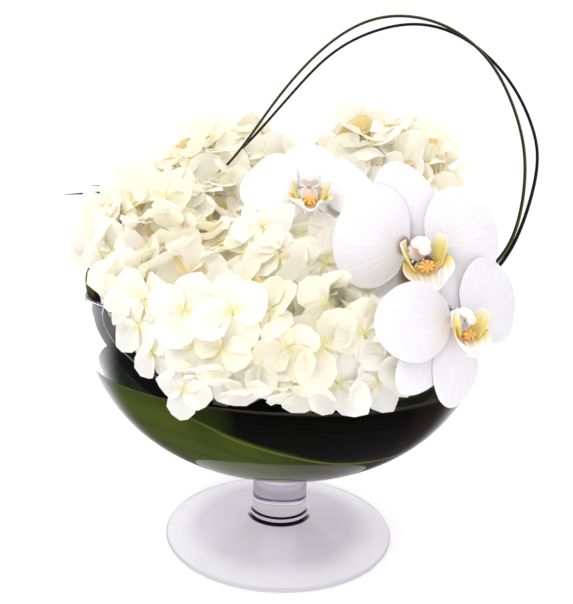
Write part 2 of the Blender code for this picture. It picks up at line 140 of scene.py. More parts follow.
class Graph:
    """The nodes of one material or world."""

    def __init__(self, holder: bpy.types.Material | bpy.types.World) -> None:
        """Empties the nodes of a new material or world.

        Args:
            holder: The material or world.
        """
        self.holder = holder
        holder.use_nodes = True
        self.tree = holder.node_tree
        self.tree.nodes.clear()

    def node(
        self, kind: str, settings: dict | None = None, sockets: dict | None = None, out: int | str = 0
    ) -> Wire:
        """Adds a node.

        Args:
            kind: The node's type.
            settings: Its own settings, or a ramp's stops under "stops".
            sockets: Values or wires of its inputs, by name or number.
            out: Which output is wanted, by name or number.

        Returns:
            The wire from that output.
        """
        made = self.tree.nodes.new(kind)
        for key, value in (settings or {}).items():
            if key == "stops":
                self._set_stops(made, value)
            else:
                setattr(made, key, value)
        for key, value in (sockets or {}).items():
            if isinstance(value, Wire):
                self.tree.links.new(value.socket, made.inputs[key])
            else:
                made.inputs[key].default_value = value
        return Wire(self, made.outputs[out] if made.outputs else None)

    @staticmethod
    def _set_stops(ramp: bpy.types.Node, stops: Stops) -> None:
        """Sets a colour ramp's stops.

        Args:
            ramp: The ramp's node.
            stops: The place and colour of each stop.
        """
        elements = ramp.color_ramp.elements
        while len(elements) < len(stops):
            elements.new(0.5)
        for element, (place, colour) in zip(elements, stops):
            element.position = place
            element.color = (*colour, 1.0)

    def mix(self, factor: "Wire | float", first: "Wire | Colour", second: "Wire | Colour") -> Wire:
        """Mixes two colours: first where factor is 0, second where it is 1."""
        ends = [c if isinstance(c, Wire) else (*c, 1.0) for c in (first, second)]
        return self.node("ShaderNodeMix", {"data_type": "RGBA"}, {0: factor, 6: ends[0], 7: ends[1]}, out=2)

    def ramp(self, factor: Wire, stops: Stops) -> Wire:
        """Colour along a ramp."""
        return self.node("ShaderNodeValToRGB", {"stops": stops}, {0: factor})

    def uv(self) -> tuple[Wire, Wire]:
        """Across and along of the piece's own UV map."""
        place = self.node("ShaderNodeUVMap", {"uv_map": UV_NAME})
        return self.part(place, 0), self.part(place, 1)

    def place(self) -> Wire:
        """Object coordinates."""
        return self.node("ShaderNodeTexCoord", out=3)

    def part(self, vector: Wire, axis: int) -> Wire:
        """One axis of a vector."""
        return self.node("ShaderNodeSeparateXYZ", None, {0: vector}, out=axis)

    def axis(self, axis: int) -> Wire:
        """One of the object coordinates."""
        return self.part(self.place(), axis)

    def radius(self) -> Wire:
        """Distance from the object's upright axis."""
        return (self.axis(0) * self.axis(0) + self.axis(1) * self.axis(1)) ** 0.5

    def attribute(self, name: str) -> Wire:
        """A number stored on the mesh."""
        return self.node("ShaderNodeAttribute", {"attribute_name": name}, out=2)

    def noise(self, scale: float, detail: float = 2.0, vector: Wire | None = None) -> Wire:
        """Soft noise from 0 to 1, over the object coordinates unless a vector is given."""
        sockets = {"Vector": vector or self.place(), "Scale": scale, "Detail": detail}
        return self.node("ShaderNodeTexNoise", None, sockets)

    def stretched(self, across: Wire, along: Wire) -> Wire:
        """A vector of two numbers."""
        return self.node("ShaderNodeCombineXYZ", None, {0: across, 1: along})

    def bump(self, height: Wire, strength: float, distance: float = 0.0004) -> Wire:
        """A normal from a height."""
        sockets = {"Height": height, "Strength": strength, "Distance": distance}
        return self.node("ShaderNodeBump", None, sockets)

    def principled(self, sockets: dict) -> Wire:
        """A Principled shader."""
        return self.node("ShaderNodeBsdfPrincipled", None, sockets)

    def blend(self, factor: "Wire | float", first: Wire, second: Wire) -> Wire:
        """Mixes two shaders."""
        return self.node("ShaderNodeMixShader", None, {0: factor, 1: first, 2: second})

    def ray(self, kind: str) -> Wire:
        """1 where the ray is of a kind, such as "Is Camera Ray"."""
        return self.node("ShaderNodeLightPath", out=kind)

    def from_glass(self) -> Wire:
        """1 for rays that were mirrored or let through by something clear, and 0 for others."""
        clear = self.ray("Is Reflection Ray") + self.ray("Is Transmission Ray")
        return (clear - self.ray("Is Diffuse Ray")).step(0.4, 0.6)

    def finish(self, surface: Wire, kind: str = "ShaderNodeOutputMaterial") -> bpy.types.ID:
        """Sends a shader to the output.

        Args:
            surface: The shader.
            kind: Type of the output's node.

        Returns:
            The finished material or world.
        """
        self.node(kind, None, {0: surface})
        return self.holder


# ---- Finishes ----


@dataclass(frozen=True)
class Finish:
    """A named finish. Each kind says what its surface is."""

    name: str

    def surface(self, graph: Graph) -> Wire:
        """The shader, made of the graph's nodes.

        Args:
            graph: The material's nodes.

        Returns:
            The shader.
        """
        raise NotImplementedError

    def build(self) -> bpy.types.Material:
        """Makes the material."""
        graph = Graph(bpy.data.materials.new(self.name))
        return graph.finish(self.surface(graph))


@dataclass(frozen=True)
class ClearGlass(Finish):
    """Polished clear glass that lets lamp light through to what is behind it.

    creases lists (height, half width) of fine dark lines painted round its collar's folds, on its front half
    only:
    painted reflections of the dark surroundings. Where centre is set darker than brim, as on the foot, it is
    painted shade of the floor seen through the glass, and past edge_radius that dark colour paints a dark
    line round the rim.
    """

    centre: Colour = (0.975, 0.972, 0.985)
    brim: Colour = (0.975, 0.972, 0.985)
    ior: float = 1.46
    dark_refraction_lines: tuple[tuple[float, float], ...] = ()
    edge_radius: float = 0.0

    def surface(self, graph: Graph) -> Wire:
        """The shader, made of the graph's nodes."""
        radius = graph.radius()
        drift = graph.noise(30.0)
        # Painted shade: where centre is darker than brim, the middle of the glass is darkened for the shaded
        # floor seen through it.
        tint = graph.mix((radius + 0.012 * (drift - 0.5)).step(0.050, 0.066), self.centre, self.brim)
        # Past edge_radius the centre colour comes back: a painted dark line round the rim.
        if self.edge_radius:
            tint = graph.mix(radius.step(self.edge_radius - 0.0012, self.edge_radius), tint, self.centre)
        sockets = {"Base Color": tint, "Roughness": 0.0, "IOR": self.ior, "Transmission Weight": 1.0}
        glass = graph.principled(sockets)
        # The crease lines are painted dark reflections of the surroundings, on the front half only.
        front = (graph.axis(1) * -1.0).step(0.001, 0.008)
        for height, half in self.dark_refraction_lines:
            line = 1.0 - abs(graph.axis(2) - height + 0.0001 * drift).step(half * 0.7, half)
            painted_dark_line = graph.principled({"Base Color": (0.012, 0.009, 0.022, 1.0), "Roughness": 0.08})
            glass = graph.blend(line * front, glass, painted_dark_line)
        clear = graph.node("ShaderNodeBsdfTransparent", None, {0: (0.95, 0.95, 0.965, 1.0)})
        return graph.blend(graph.ray("Is Shadow Ray"), glass, clear)


@dataclass(frozen=True)
class BroadLeaf(Finish):
    """A waxy strap leaf with parallel veins along it, a pale midrib, and a pale painted highlight along its
    upper edge.

    UV u runs along the leaf and v across it, with the midrib at 0.5.
    """

    stops: Stops
    upper_stops: Stops
    midrib: Colour = (0.44, 0.52, 0.09)
    midrib_width: float = 0.012
    edge: Colour = (0.16, 0.17, 0.11)
    edge_highlight_width: float = 0.035
    veins: float = 90.0
    midrib_start: float = 0.0
    shine: float = 0.06

    def surface(self, graph: Graph) -> Wire:
        """The shader, made of the graph's nodes."""
        along, across = graph.uv()
        drift = graph.noise(22.0, 3.0)
        streak = graph.noise(1.6, 4.0, graph.stretched(along * 2.5, across * 34.0))
        lower = graph.ramp(along, self.stops)
        upper = graph.ramp(along, self.upper_stops)
        colour = graph.mix((across + 0.10 * (drift - 0.5)).step(0.49, 0.56), lower, upper)
        vein = (across * self.veins + drift * 1.4).sine()
        colour = graph.mix(vein.step(0.1, 1.0) * 0.16, colour, (0.0, 0.0, 0.0))
        colour = graph.mix(streak.step(0.52, 0.78) * 0.02, colour, self.midrib)
        off_rib = abs(across - 0.5 + 0.008 * (drift - 0.5))
        rib = 1.0 - off_rib.step(self.midrib_width * 0.3, self.midrib_width)
        if self.midrib_start:
            rib = rib * along.step(self.midrib_start - 0.06, self.midrib_start + 0.04)
        colour = graph.mix(rib * (0.45 + 0.5 * streak), colour, self.midrib)
        # The edge colour along the upper edge is a painted highlight line.
        rim = across.step(1.0 - self.edge_highlight_width, 1.0 - 0.2 * self.edge_highlight_width)
        colour = graph.mix(rim * 0.8, colour, self.edge)
        return graph.principled({
            "Base Color": colour, "Roughness": 0.38 + 0.18 * drift, "Specular IOR Level": self.shine,
            "Normal": graph.bump(vein * 0.4 + rib * 2.0, 0.08),
        })


@dataclass(frozen=True)
class BlossomPetal(Finish):
    """A hydrangea sepal: cream, yellow-green at its throat, with painted golden shade where it lies far
    inside the head and a faint painted glow.

    It reads "ripe", how white the blossom is, and "deep", how far inside the head a point lies,
    which sets its painted golden shade.
    """

    name: str = "hydrangea_petal_look"
    throat: Colour = (0.90, 0.85, 0.46)
    cream: Colour = (0.955, 0.930, 0.800)
    white: Colour = (0.965, 0.955, 0.915)
    painted_shade_gold: Colour = (0.66, 0.45, 0.06)
    light_through: float = 0.36

    def surface(self, graph: Graph) -> Wire:
        """The shader, made of the graph's nodes."""
        across, along = graph.uv()
        ripe = graph.attribute("ripe")
        deep = graph.attribute("deep")
        mottle = graph.noise(60.0)
        body = graph.mix((ripe + 0.5 * (mottle - 0.5)).step(0.15, 0.85), self.cream, self.white)
        colour = graph.mix(along.step(0.0, 0.42), self.throat, body)
        # Painted shade: golden colour far inside the head, standing for shade lit through the petals.
        colour = graph.mix((deep * (1.15 - 0.3 * along)).step(0.15, 1.0), colour, self.painted_shade_gold)
        vein = abs(((across - 0.5) * 44.0 + mottle * 2.0).sine()) ** 6.0
        colour = graph.mix(vein * 0.10, colour, (0.80, 0.76, 0.50))
        normal = graph.bump(vein + mottle * 0.6, 0.22)
        # Painted light: a faint yellowish glow lights the shaded petals, though they are no lamp; the same
        # tint colours the light let through.
        painted_glow_tint = graph.mix(0.22 + 0.5 * deep, colour, (0.98, 0.84, 0.38))
        skin = graph.principled({
            "Base Color": colour, "Roughness": 0.55, "Normal": normal, "Specular IOR Level": 0.3,
            "Emission Color": painted_glow_tint, "Emission Strength": 0.03,
        })
        through = graph.node("ShaderNodeBsdfTranslucent", None, {"Color": painted_glow_tint, "Normal": normal})
        return graph.blend(self.light_through, skin, through)


@dataclass(frozen=True)
class HeadCore(Finish):
    """The inside of a hydrangea head, seen only between the blossoms: its own golden-green, dimmed to
    brown-gold as painted shade.
    """

    name: str = "hydrangea_core_look"

    def surface(self, graph: Graph) -> Wire:
        """The shader, made of the graph's nodes."""
        patch = graph.noise(75.0, 3.0)
        stops = ((0.30, (0.34, 0.19, 0.02)), (0.50, (0.74, 0.52, 0.10)), (0.75, (0.88, 0.76, 0.30)))
        normal = graph.bump(patch, 0.6, 0.002)
        return graph.principled({"Base Color": graph.ramp(patch, stops), "Roughness": 0.8, "Normal": normal})


@dataclass(frozen=True)
class OrchidPetal(Finish):
    """A thick velvety white petal with a fan of faint lilac veins from its claw, and painted shade darkening
    it near its claw.
    """

    body: Colour = (0.890, 0.873, 0.888)
    vein: Colour = (0.74, 0.62, 0.73)
    blush: Colour = (0.82, 0.72, 0.79)
    blush_strength: float = 0.22
    midline: float = 0.0
    claw: Colour = (0.80, 0.70, 0.62)
    claw_reach: float = 0.10
    light_through: float = 0.16

    def surface(self, graph: Graph) -> Wire:
        """The shader, made of the graph's nodes."""
        across, along = graph.uv()
        drift = graph.noise(45.0)
        ridge = abs(((across - 0.5) * 60.0 + drift * 3.0 * along).sine()) ** 10.0
        fork = abs(((across - 0.5) * 121.0 + drift * 5.0 * along).sine()) ** 12.0 * along.step(0.35, 0.7)
        veins = (ridge + fork * 0.6) * (1.0 - along.step(0.80, 1.0))
        colour = graph.mix((1.0 - along.step(0.0, 0.55)) * self.blush_strength, self.body, self.blush)
        colour = graph.mix(veins * 0.11, colour, self.vein)
        # Painted shade: the claw colour darkens the petal's base where it tucks in behind the lip.
        colour = graph.mix(1.0 - along.step(0.4 * self.claw_reach, self.claw_reach), colour, self.claw)
        if self.midline:
            line = 1.0 - abs(across - 0.5).step(0.010, 0.035)
            colour = graph.mix(line * self.midline, colour, (0.50, 0.16, 0.36))
        grain = graph.noise(900.0, 1.0)
        normal = graph.bump(0.5 - veins * 0.8 + grain * 0.25, 0.30)
        skin = graph.principled({
            "Base Color": colour, "Roughness": 0.42, "Normal": normal, "Sheen Weight": 0.15,
            "Specular IOR Level": 0.35,
        })
        through = graph.node("ShaderNodeBsdfTranslucent", None, {"Color": colour, "Normal": normal})
        return graph.blend(self.light_through, skin, through)


@dataclass(frozen=True)
class LipFinish(Finish):
    """The waxy skin of one part of an orchid's lip, coloured from its base (v 0) to its tip (v 1)."""

    stops: Stops
    spots: Colour = (0.55, 0.08, 0.12)
    spotted: float = 0.0

    def surface(self, graph: Graph) -> Wire:
        """The shader, made of the graph's nodes."""
        across, along = graph.uv()
        colour = graph.ramp(along, self.stops)
        speck = graph.noise(900.0, 1.0)
        stripe = abs(((across - 0.5) * 26.0 + speck).sine()) ** 3.0
        mask = (stripe * 0.6 + speck * 0.7).step(0.62, 0.78) * self.spotted
        colour = graph.mix(mask, colour, self.spots)
        return graph.principled({
            "Base Color": colour, "Roughness": 0.32, "Coat Weight": 0.2, "Coat Roughness": 0.15,
            "Normal": graph.bump(speck, 0.15),
        })


@dataclass(frozen=True)
class GrassFinish(Finish):
    """A long blade of grass: dark, with a painted highlight line along one side."""

    body: Colour
    light: Colour
    tip: Colour = (0.16, 0.22, 0.07)

    def surface(self, graph: Graph) -> Wire:
        """The shader, made of the graph's nodes."""
        across, along = graph.uv()
        fibre = graph.noise(3.0, vector=graph.stretched(across * 6.0, along * 90.0))
        # The light colour along one side is a painted highlight line.
        colour = graph.mix(across.step(0.58, 0.80), self.body, self.light)
        colour = graph.mix(along.step(0.45, 0.95), colour, self.tip)
        colour = graph.mix(fibre.step(0.5, 0.9) * 0.3, colour, (0.02, 0.03, 0.01))
        normal = graph.bump(fibre, 0.2)
        return graph.principled({"Base Color": colour, "Roughness": 0.38 + 0.1 * fibre, "Normal": normal})


@dataclass(frozen=True)
class PlantSkin(Finish):
    """Plain green plant matter: stems, stubs and foam."""

    dark: Colour
    light: Colour
    scale: float = 120.0
    roughness: float = 0.5

    def surface(self, graph: Graph) -> Wire:
        """The shader, made of the graph's nodes."""
        patch = graph.noise(self.scale, 4.0)
        colour = graph.mix(patch.step(0.3, 0.7), self.dark, self.light)
        normal = graph.bump(patch, 0.5, 0.0008)
        return graph.principled({"Base Color": colour, "Roughness": self.roughness, "Normal": normal})


# ---- Modelling helpers ----


def deselect() -> None:
    """Leaves edit mode and deselects everything."""
    if bpy.context.mode != "OBJECT":
        bpy.ops.object.mode_set(mode="OBJECT")
    bpy.ops.object.select_all(action="DESELECT")


def activate(obj: bpy.types.Object) -> None:
    """Selects one object alone and makes it active."""
    deselect()
    obj.select_set(True)
    bpy.context.view_layer.objects.active = obj


def apply_modifier(obj: bpy.types.Object, kind: str, **settings: object) -> None:
    """Adds a modifier and applies it at once.

    Args:
        obj: The piece.
        kind: The modifier's type.
        settings: Its settings, by name.
    """
    activate(obj)
    modifier = obj.modifiers.new(kind.title(), kind)
    for key, value in settings.items():
        setattr(modifier, key, value)
    bpy.ops.object.modifier_apply(modifier=modifier.name)


def smooth(obj: bpy.types.Object, angle: float = 50.0) -> None:
    """Shades a piece smooth, but for edges sharper than angle, in degrees."""
    activate(obj)
    bpy.ops.object.shade_smooth_by_angle(angle=math.radians(angle))


def bent_grid(name: str, across: int, along: int, shape: Shape) -> bpy.types.Object:
    """A grid primitive bent to a surface, with its UV map kept.

    Args:
        name: The object's name.
        across: Faces from side to side.
        along: Faces from base to tip.
        shape: Place of the point at (side, t), with side from -1 to 1 and t from 0 to 1.

    Returns:
        The new object.
    """
    deselect()
    bpy.ops.mesh.primitive_grid_add(x_subdivisions=across, y_subdivisions=along, size=2.0, calc_uvs=True)
    obj = bpy.context.object
    obj.name = name
    for vertex in obj.data.vertices:
        vertex.co = shape(vertex.co.x, (vertex.co.y + 1) / 2)
    return obj


def ball(segments: int, rings: int, shape: Callable[[float, float, float], Place]) -> bpy.types.Object:
    """A sphere primitive, moved point by point.

    Args:
        segments: Faces round it.
        rings: Faces from pole to pole.
        shape: Place of the point that was at (x, y, z) on the sphere of radius 1.

    Returns:
        The new object.
    """
    deselect()
    bpy.ops.mesh.primitive_uv_sphere_add(segments=segments, ring_count=rings, radius=1.0, calc_uvs=True)
    made = bpy.context.object
    for vertex in made.data.vertices:
        vertex.co = shape(*vertex.co)
    return made


def join(name: str, pieces: Sequence[bpy.types.Object]) -> bpy.types.Object:
    """Joins pieces into one object.

    Args:
        name: The object's name.
        pieces: The pieces, whose materials come in this order.

    Returns:
        The joined object.
    """
    deselect()
    for piece in pieces:
        piece.select_set(True)
    bpy.context.view_layer.objects.active = pieces[0]
    bpy.ops.object.join()
    obj = bpy.context.object
    obj.name = name
    return obj


def paint(obj: bpy.types.Object, *materials: bpy.types.Material) -> None:
    """Gives an object its materials.

    Args:
        obj: The object.
        materials: The materials, in the order of its faces' material numbers.
    """
    obj.data.materials.clear()
    for material in materials:
        obj.data.materials.append(material)


def copy_mesh(source: bpy.types.Object, matrix: Matrix) -> bpy.types.Object:
    """Copies an object with its mesh.

    Args:
        source: The object.
        matrix: Where the copy goes, written into its mesh.

    Returns:
        The copy.
    """
    mesh = source.data.copy()
    mesh.transform(matrix)
    obj = bpy.data.objects.new(source.name + "_copy", mesh)
    bpy.context.scene.collection.objects.link(obj)
    return obj


def release(piece: bpy.types.Object, slot: Slot, node: str) -> None:
    """Puts a finished piece on the object, in place of a CAD node.

    Args:
        piece: The finished piece.
        slot: Not used.
        node: The CAD node it stands for.
    """
    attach(piece, ROOT)
    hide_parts(node)
    log.info("%s: %d faces", piece.name, len(piece.data.polygons))


def thicken(sheet: bpy.types.Object, thickness: float, rounded: bool = False) -> None:
    """Gives a sheet its thickness.

    Args:
        sheet: The sheet.
        thickness: Its thickness.
        rounded: Whether one subdivision rounds it as well.
    """
    apply_modifier(sheet, "SOLIDIFY", thickness=thickness, offset=0.0)
    if rounded:
        apply_modifier(sheet, "SUBSURF", levels=1, render_levels=1)


def release_sheet(
    sheet: bpy.types.Object, thickness: float, finish: Finish, slot: Slot, node: str, angle: float = 50.0
) -> None:
    """Finishes a sheet and puts it on the object.

    Args:
        sheet: The bent grid.
        thickness: Its thickness.
        finish: Its finish.
        slot: The record's slot, passed on to release.
        node: The CAD node it stands for.
        angle: Edges sharper than this stay sharp, in degrees.
    """
    thicken(sheet, thickness)
    smooth(sheet, angle)
    paint(sheet, finish.build())
    release(sheet, slot, node)


def frame_towards(centre: Vector, facing: Vector, roll: float, scale: float = 1.0) -> Matrix:
    """A frame whose +Z faces a way and whose +Y is as near up as it can be.

    Args:
        centre: Its origin, in metres.
        facing: The way +Z faces.
        roll: Turn about +Z, in degrees.
        scale: Size of its unit.

    Returns:
        The matrix.
    """
    forward = facing.normalized()
    right = Vector((0, 0, 1)).cross(forward)
    right = right.normalized() if right.length > 1e-4 else Vector((1, 0, 0))
    basis = Matrix((right, forward.cross(right), forward)).transposed().to_4x4()
    turn = Matrix.Rotation(math.radians(roll), 4, "Z")
    return Matrix.Translation(centre) @ basis @ turn @ Matrix.Scale(scale, 4)


def bowl_outline(radius: float, depth: float, z: float) -> float:
    """Outline of a bowl.

    Args:
        radius: Its largest radius.
        depth: Its depth below its widest level.
        z: A height.

    Returns:
        Its radius at that height.
    """
    if z >= BOWL_WIDEST_Z:
        return radius - RIM_PULL_IN * (min(z, RIM_Z) - BOWL_WIDEST_Z) ** 2
    share = min(1.0, (BOWL_WIDEST_Z - z) / depth)
    return radius * (1 - share**BOWL_POWER) ** (1 / BOWL_POWER)


def inside_wall(z: float, offset: float = 0.0) -> float:
    """Radius at height z of the bowl's inner wall, moved inwards by offset."""
    return bowl_outline(BOWL_RADIUS - WALL - offset, BOWL_DEPTH - FLOOR_GLASS - offset, z)


def along_route(points: Sequence[tuple[float, ...]], t: float) -> tuple[float, ...]:
    """Values along a list of rows, smoothly joined.

    Args:
        points: The rows, evenly spaced.
        t: Share of the way, from 0 to 1.

    Returns:
        The values there.
    """
    place = min(max(t, 0.0), 1.0) * (len(points) - 1)
    first = min(int(place), len(points) - 2)
    share = place - first
    after = points[min(len(points) - 1, first + 2)]
    rows = [points[max(0, first - 1)], points[first], points[first + 1], after]
    return tuple(
        0.5 * (2 * b + (c - a) * share + (2 * a - 5 * b + 4 * c - d) * share**2
               + (3 * b - a - 3 * c + d) * share**3)
        for a, b, c, d in zip(*rows)
    )


# ---- The glass ----


@dataclass
class FootedBowl:
    """The one fused glass piece of foot, stem and bowl, pulled up ring by ring from a circle."""

    sides: int = 160
    foot: tuple[tuple[float, float], ...] = (
        (7.34, 0.0), (7.46, 0.03), (7.52, 0.12), (7.53, 0.22), (7.47, 0.31), (7.30, 0.36), (6.40, 0.45),
        (5.20, 0.58), (4.00, 0.76), (3.00, 0.98), (2.40, 1.17), (2.08, 1.27), (1.94, 1.33), (1.93, 1.38),
        (2.00, 1.45), (2.03, 1.54), (2.00, 1.63), (1.90, 1.70), (1.84, 1.76), (1.82, 1.90), (1.81, 2.40),
        (1.81, 3.30), (1.81, 4.30), (1.84, 4.65), (1.95, 4.86), (2.20, 4.98),
    )
    foot_top: float = 0.0470
    pole_radius: float = 0.0020
    upper_step: float = 0.0026
    lip_height: float = 0.0008
    join_radius: float = 0.0300
    wall_steps: int = 40

    def _wall(self, radius: float, depth: float) -> list[tuple[float, float]]:
        """One side of the wall.

        Args:
            radius: Its largest radius.
            depth: Its depth below its widest level.

        Returns:
            (radius, height) points from its widest level down to its pole.
        """
        rows = []
        for i in range(self.wall_steps + 1):
            angle = math.pi / 2 * i / self.wall_steps
            across = max(0.0, math.cos(angle)) ** (2 / BOWL_POWER)
            down = math.sin(angle) ** (2 / BOWL_POWER)
            rows.append((radius * across, BOWL_WIDEST_Z - depth * down))
        return rows

    def _profile(self) -> list[tuple[float, float]]:
        """The whole outline.

        Returns:
            (radius, height) of every ring, from the foot's underside to the bowl's inner floor.
        """
        rings = [(r * CM, z * CM) for r, z in self.foot]
        rings += [p for p in reversed(self._wall(BOWL_RADIUS, BOWL_DEPTH)) if p[0] > self.join_radius]
        heights = [BOWL_WIDEST_Z + self.upper_step * i for i in range(1, 6)]
        rings += [(bowl_outline(BOWL_RADIUS, BOWL_DEPTH, z), z) for z in heights]
        rim = bowl_outline(BOWL_RADIUS, BOWL_DEPTH, RIM_Z) - WALL / 2
        for i in range(9):
            angle = math.pi * i / 8
            z = RIM_Z - self.lip_height + self.lip_height * math.sin(angle)
            rings.append((rim + WALL / 2 * math.cos(angle), z))
        rings += [(bowl_outline(BOWL_RADIUS, BOWL_DEPTH, z) - WALL, z) for z in reversed(heights)]
        inside = self._wall(BOWL_RADIUS - WALL, BOWL_DEPTH - FLOOR_GLASS)
        return rings + [p for p in inside if p[0] > self.pole_radius]

    def build(self) -> None:
        """Extrudes the rings and gives the bowl and the foot their glass."""
        deselect()
        rings = self._profile()
        radius, height = rings[0]
        bpy.ops.mesh.primitive_circle_add(
            vertices=self.sides, radius=radius, fill_type="NGON", location=(0, 0, height)
        )
        glass = bpy.context.object
        glass.name = "glass_bowl"
        bpy.ops.object.transform_apply(location=True, rotation=True, scale=True)
        bpy.ops.object.mode_set(mode="EDIT")
        bpy.ops.mesh.select_mode(type="EDGE")
        bpy.ops.mesh.select_all(action="SELECT")
        for (last_radius, last_height), (radius, height) in zip(rings, rings[1:]):
            bpy.ops.mesh.extrude_edges_move(TRANSFORM_OT_translate={"value": (0, 0, height - last_height)})
            share = radius / last_radius
            bpy.ops.transform.resize(value=(share, share, 1.0), center_override=(0, 0, height))
        bpy.ops.mesh.edge_face_add()
        bpy.ops.mesh.select_all(action="SELECT")
        bpy.ops.mesh.normals_make_consistent(inside=False)
        bpy.ops.object.mode_set(mode="OBJECT")
        smooth(glass, 40.0)
        bowl = ClearGlass("bowl_glass_look", ior=1.24).build()
        # The foot's glass paints shade: a dark centre tint for the shaded floor seen through it, a dark rim
        # line, and dark crease lines that stand for reflections.
        foot = ClearGlass(
            "foot_glass_look", centre=(0.66, 0.62, 0.68), brim=(0.93, 0.92, 0.94),
            dark_refraction_lines=((0.01355, 0.00120), (0.01710, 0.00065)), edge_radius=0.0750,
        ).build()
        paint(glass, bowl, foot)
        for face in glass.data.polygons:
            face.material_index = int(face.center.z < self.foot_top)
        release(glass, Slot.GLASS, "footed_glass_bowl")


# ---- Leaves ----


@dataclass
class LiningLeaf:
    """A broad leaf pressed to the wall below the waterline.

    midrib lists (turn about +Z, how far down the wall) in degrees, from the leaf's foot to its tip.
    """

    name: str
    node: str
    midrib: tuple[tuple[float, float], ...]
    offset: float
    finish: BroadLeaf
    slot: Slot
    lowest: float = 84.0
    thickness: float = 0.0005

    def build(self) -> None:
        """Bends a grid to the wall."""
        radius = BOWL_RADIUS - WALL - self.offset
        depth = BOWL_DEPTH - FLOOR_GLASS - self.offset
        top = math.degrees(math.asin(((BOWL_WIDEST_Z - WATERLINE_Z) / depth) ** (BOWL_POWER / 2)))

        def shape(side: float, t: float) -> Vector:
            """A point of the leaf: side along it, t across it from its lower to its upper edge."""
            turn, middle = along_route(self.midrib, (side + 1) / 2)
            ends = min(1.0, 4.0 * (1 - abs(side)) + 0.25)
            across = 2 * t - 1
            goal = self.lowest if across < 0 else top
            down = math.radians(max(middle + (goal - middle) * abs(across) * ends, top))
            reach = radius * math.cos(down) ** (2 / BOWL_POWER)
            z = BOWL_WIDEST_Z - depth * math.sin(down) ** (2 / BOWL_POWER)
            angle = math.radians(turn)
            return Vector((reach * math.cos(angle), reach * math.sin(angle), z))

        leaf = bent_grid(self.name, 96, 24, shape)
        release_sheet(leaf, self.thickness, self.finish, self.slot, self.node)


@dataclass
class StandingLeaf:
    """A leaf inside the glass.

    route lists its middle as (turn in degrees, z, width, inset) in cm, and how edgewise it stands to the
    wall, from 0 where it lies along the wall to 1 where its width points inwards.
    """

    name: str
    node: str
    route: tuple[tuple[float, float, float, float, float], ...]
    finish: BroadLeaf
    slot: Slot
    thickness: float = 0.0006
    wall_gap: float = 0.0012
    wall_radius: float = 0.118

    def build(self) -> None:
        """Bends a grid along the route."""

        def middle(s: float) -> tuple[float, float]:
            """Length round the wall and height of the middle line at share s."""
            turn, z = along_route(self.route, s)[:2]
            return math.radians(turn) * self.wall_radius, z * CM

        def shape(side: float, t: float) -> Vector:
            """A point of the leaf: side along it, t from its lower edge to its upper edge."""
            s = (side + 1) / 2
            turn, z, width, inset, edgewise = along_route(self.route, s)
            ahead, behind = middle(min(1.0, s + 0.01)), middle(max(0.0, s - 0.01))
            way = Vector((ahead[0] - behind[0], ahead[1] - behind[1])).normalized()
            shift = (t - 0.5) * width * CM
            flat = 1 - edgewise
            angle = math.radians(turn) - way.y * shift * flat / self.wall_radius
            z = z * CM + way.x * shift * flat
            reach = inside_wall(min(z, RIM_Z), self.wall_gap) - inset * CM - shift * edgewise
            return Vector((reach * math.cos(angle), reach * math.sin(angle), z))

        leaf = bent_grid(self.name, 90, 8, shape)
        release_sheet(leaf, self.thickness, self.finish, self.slot, self.node)


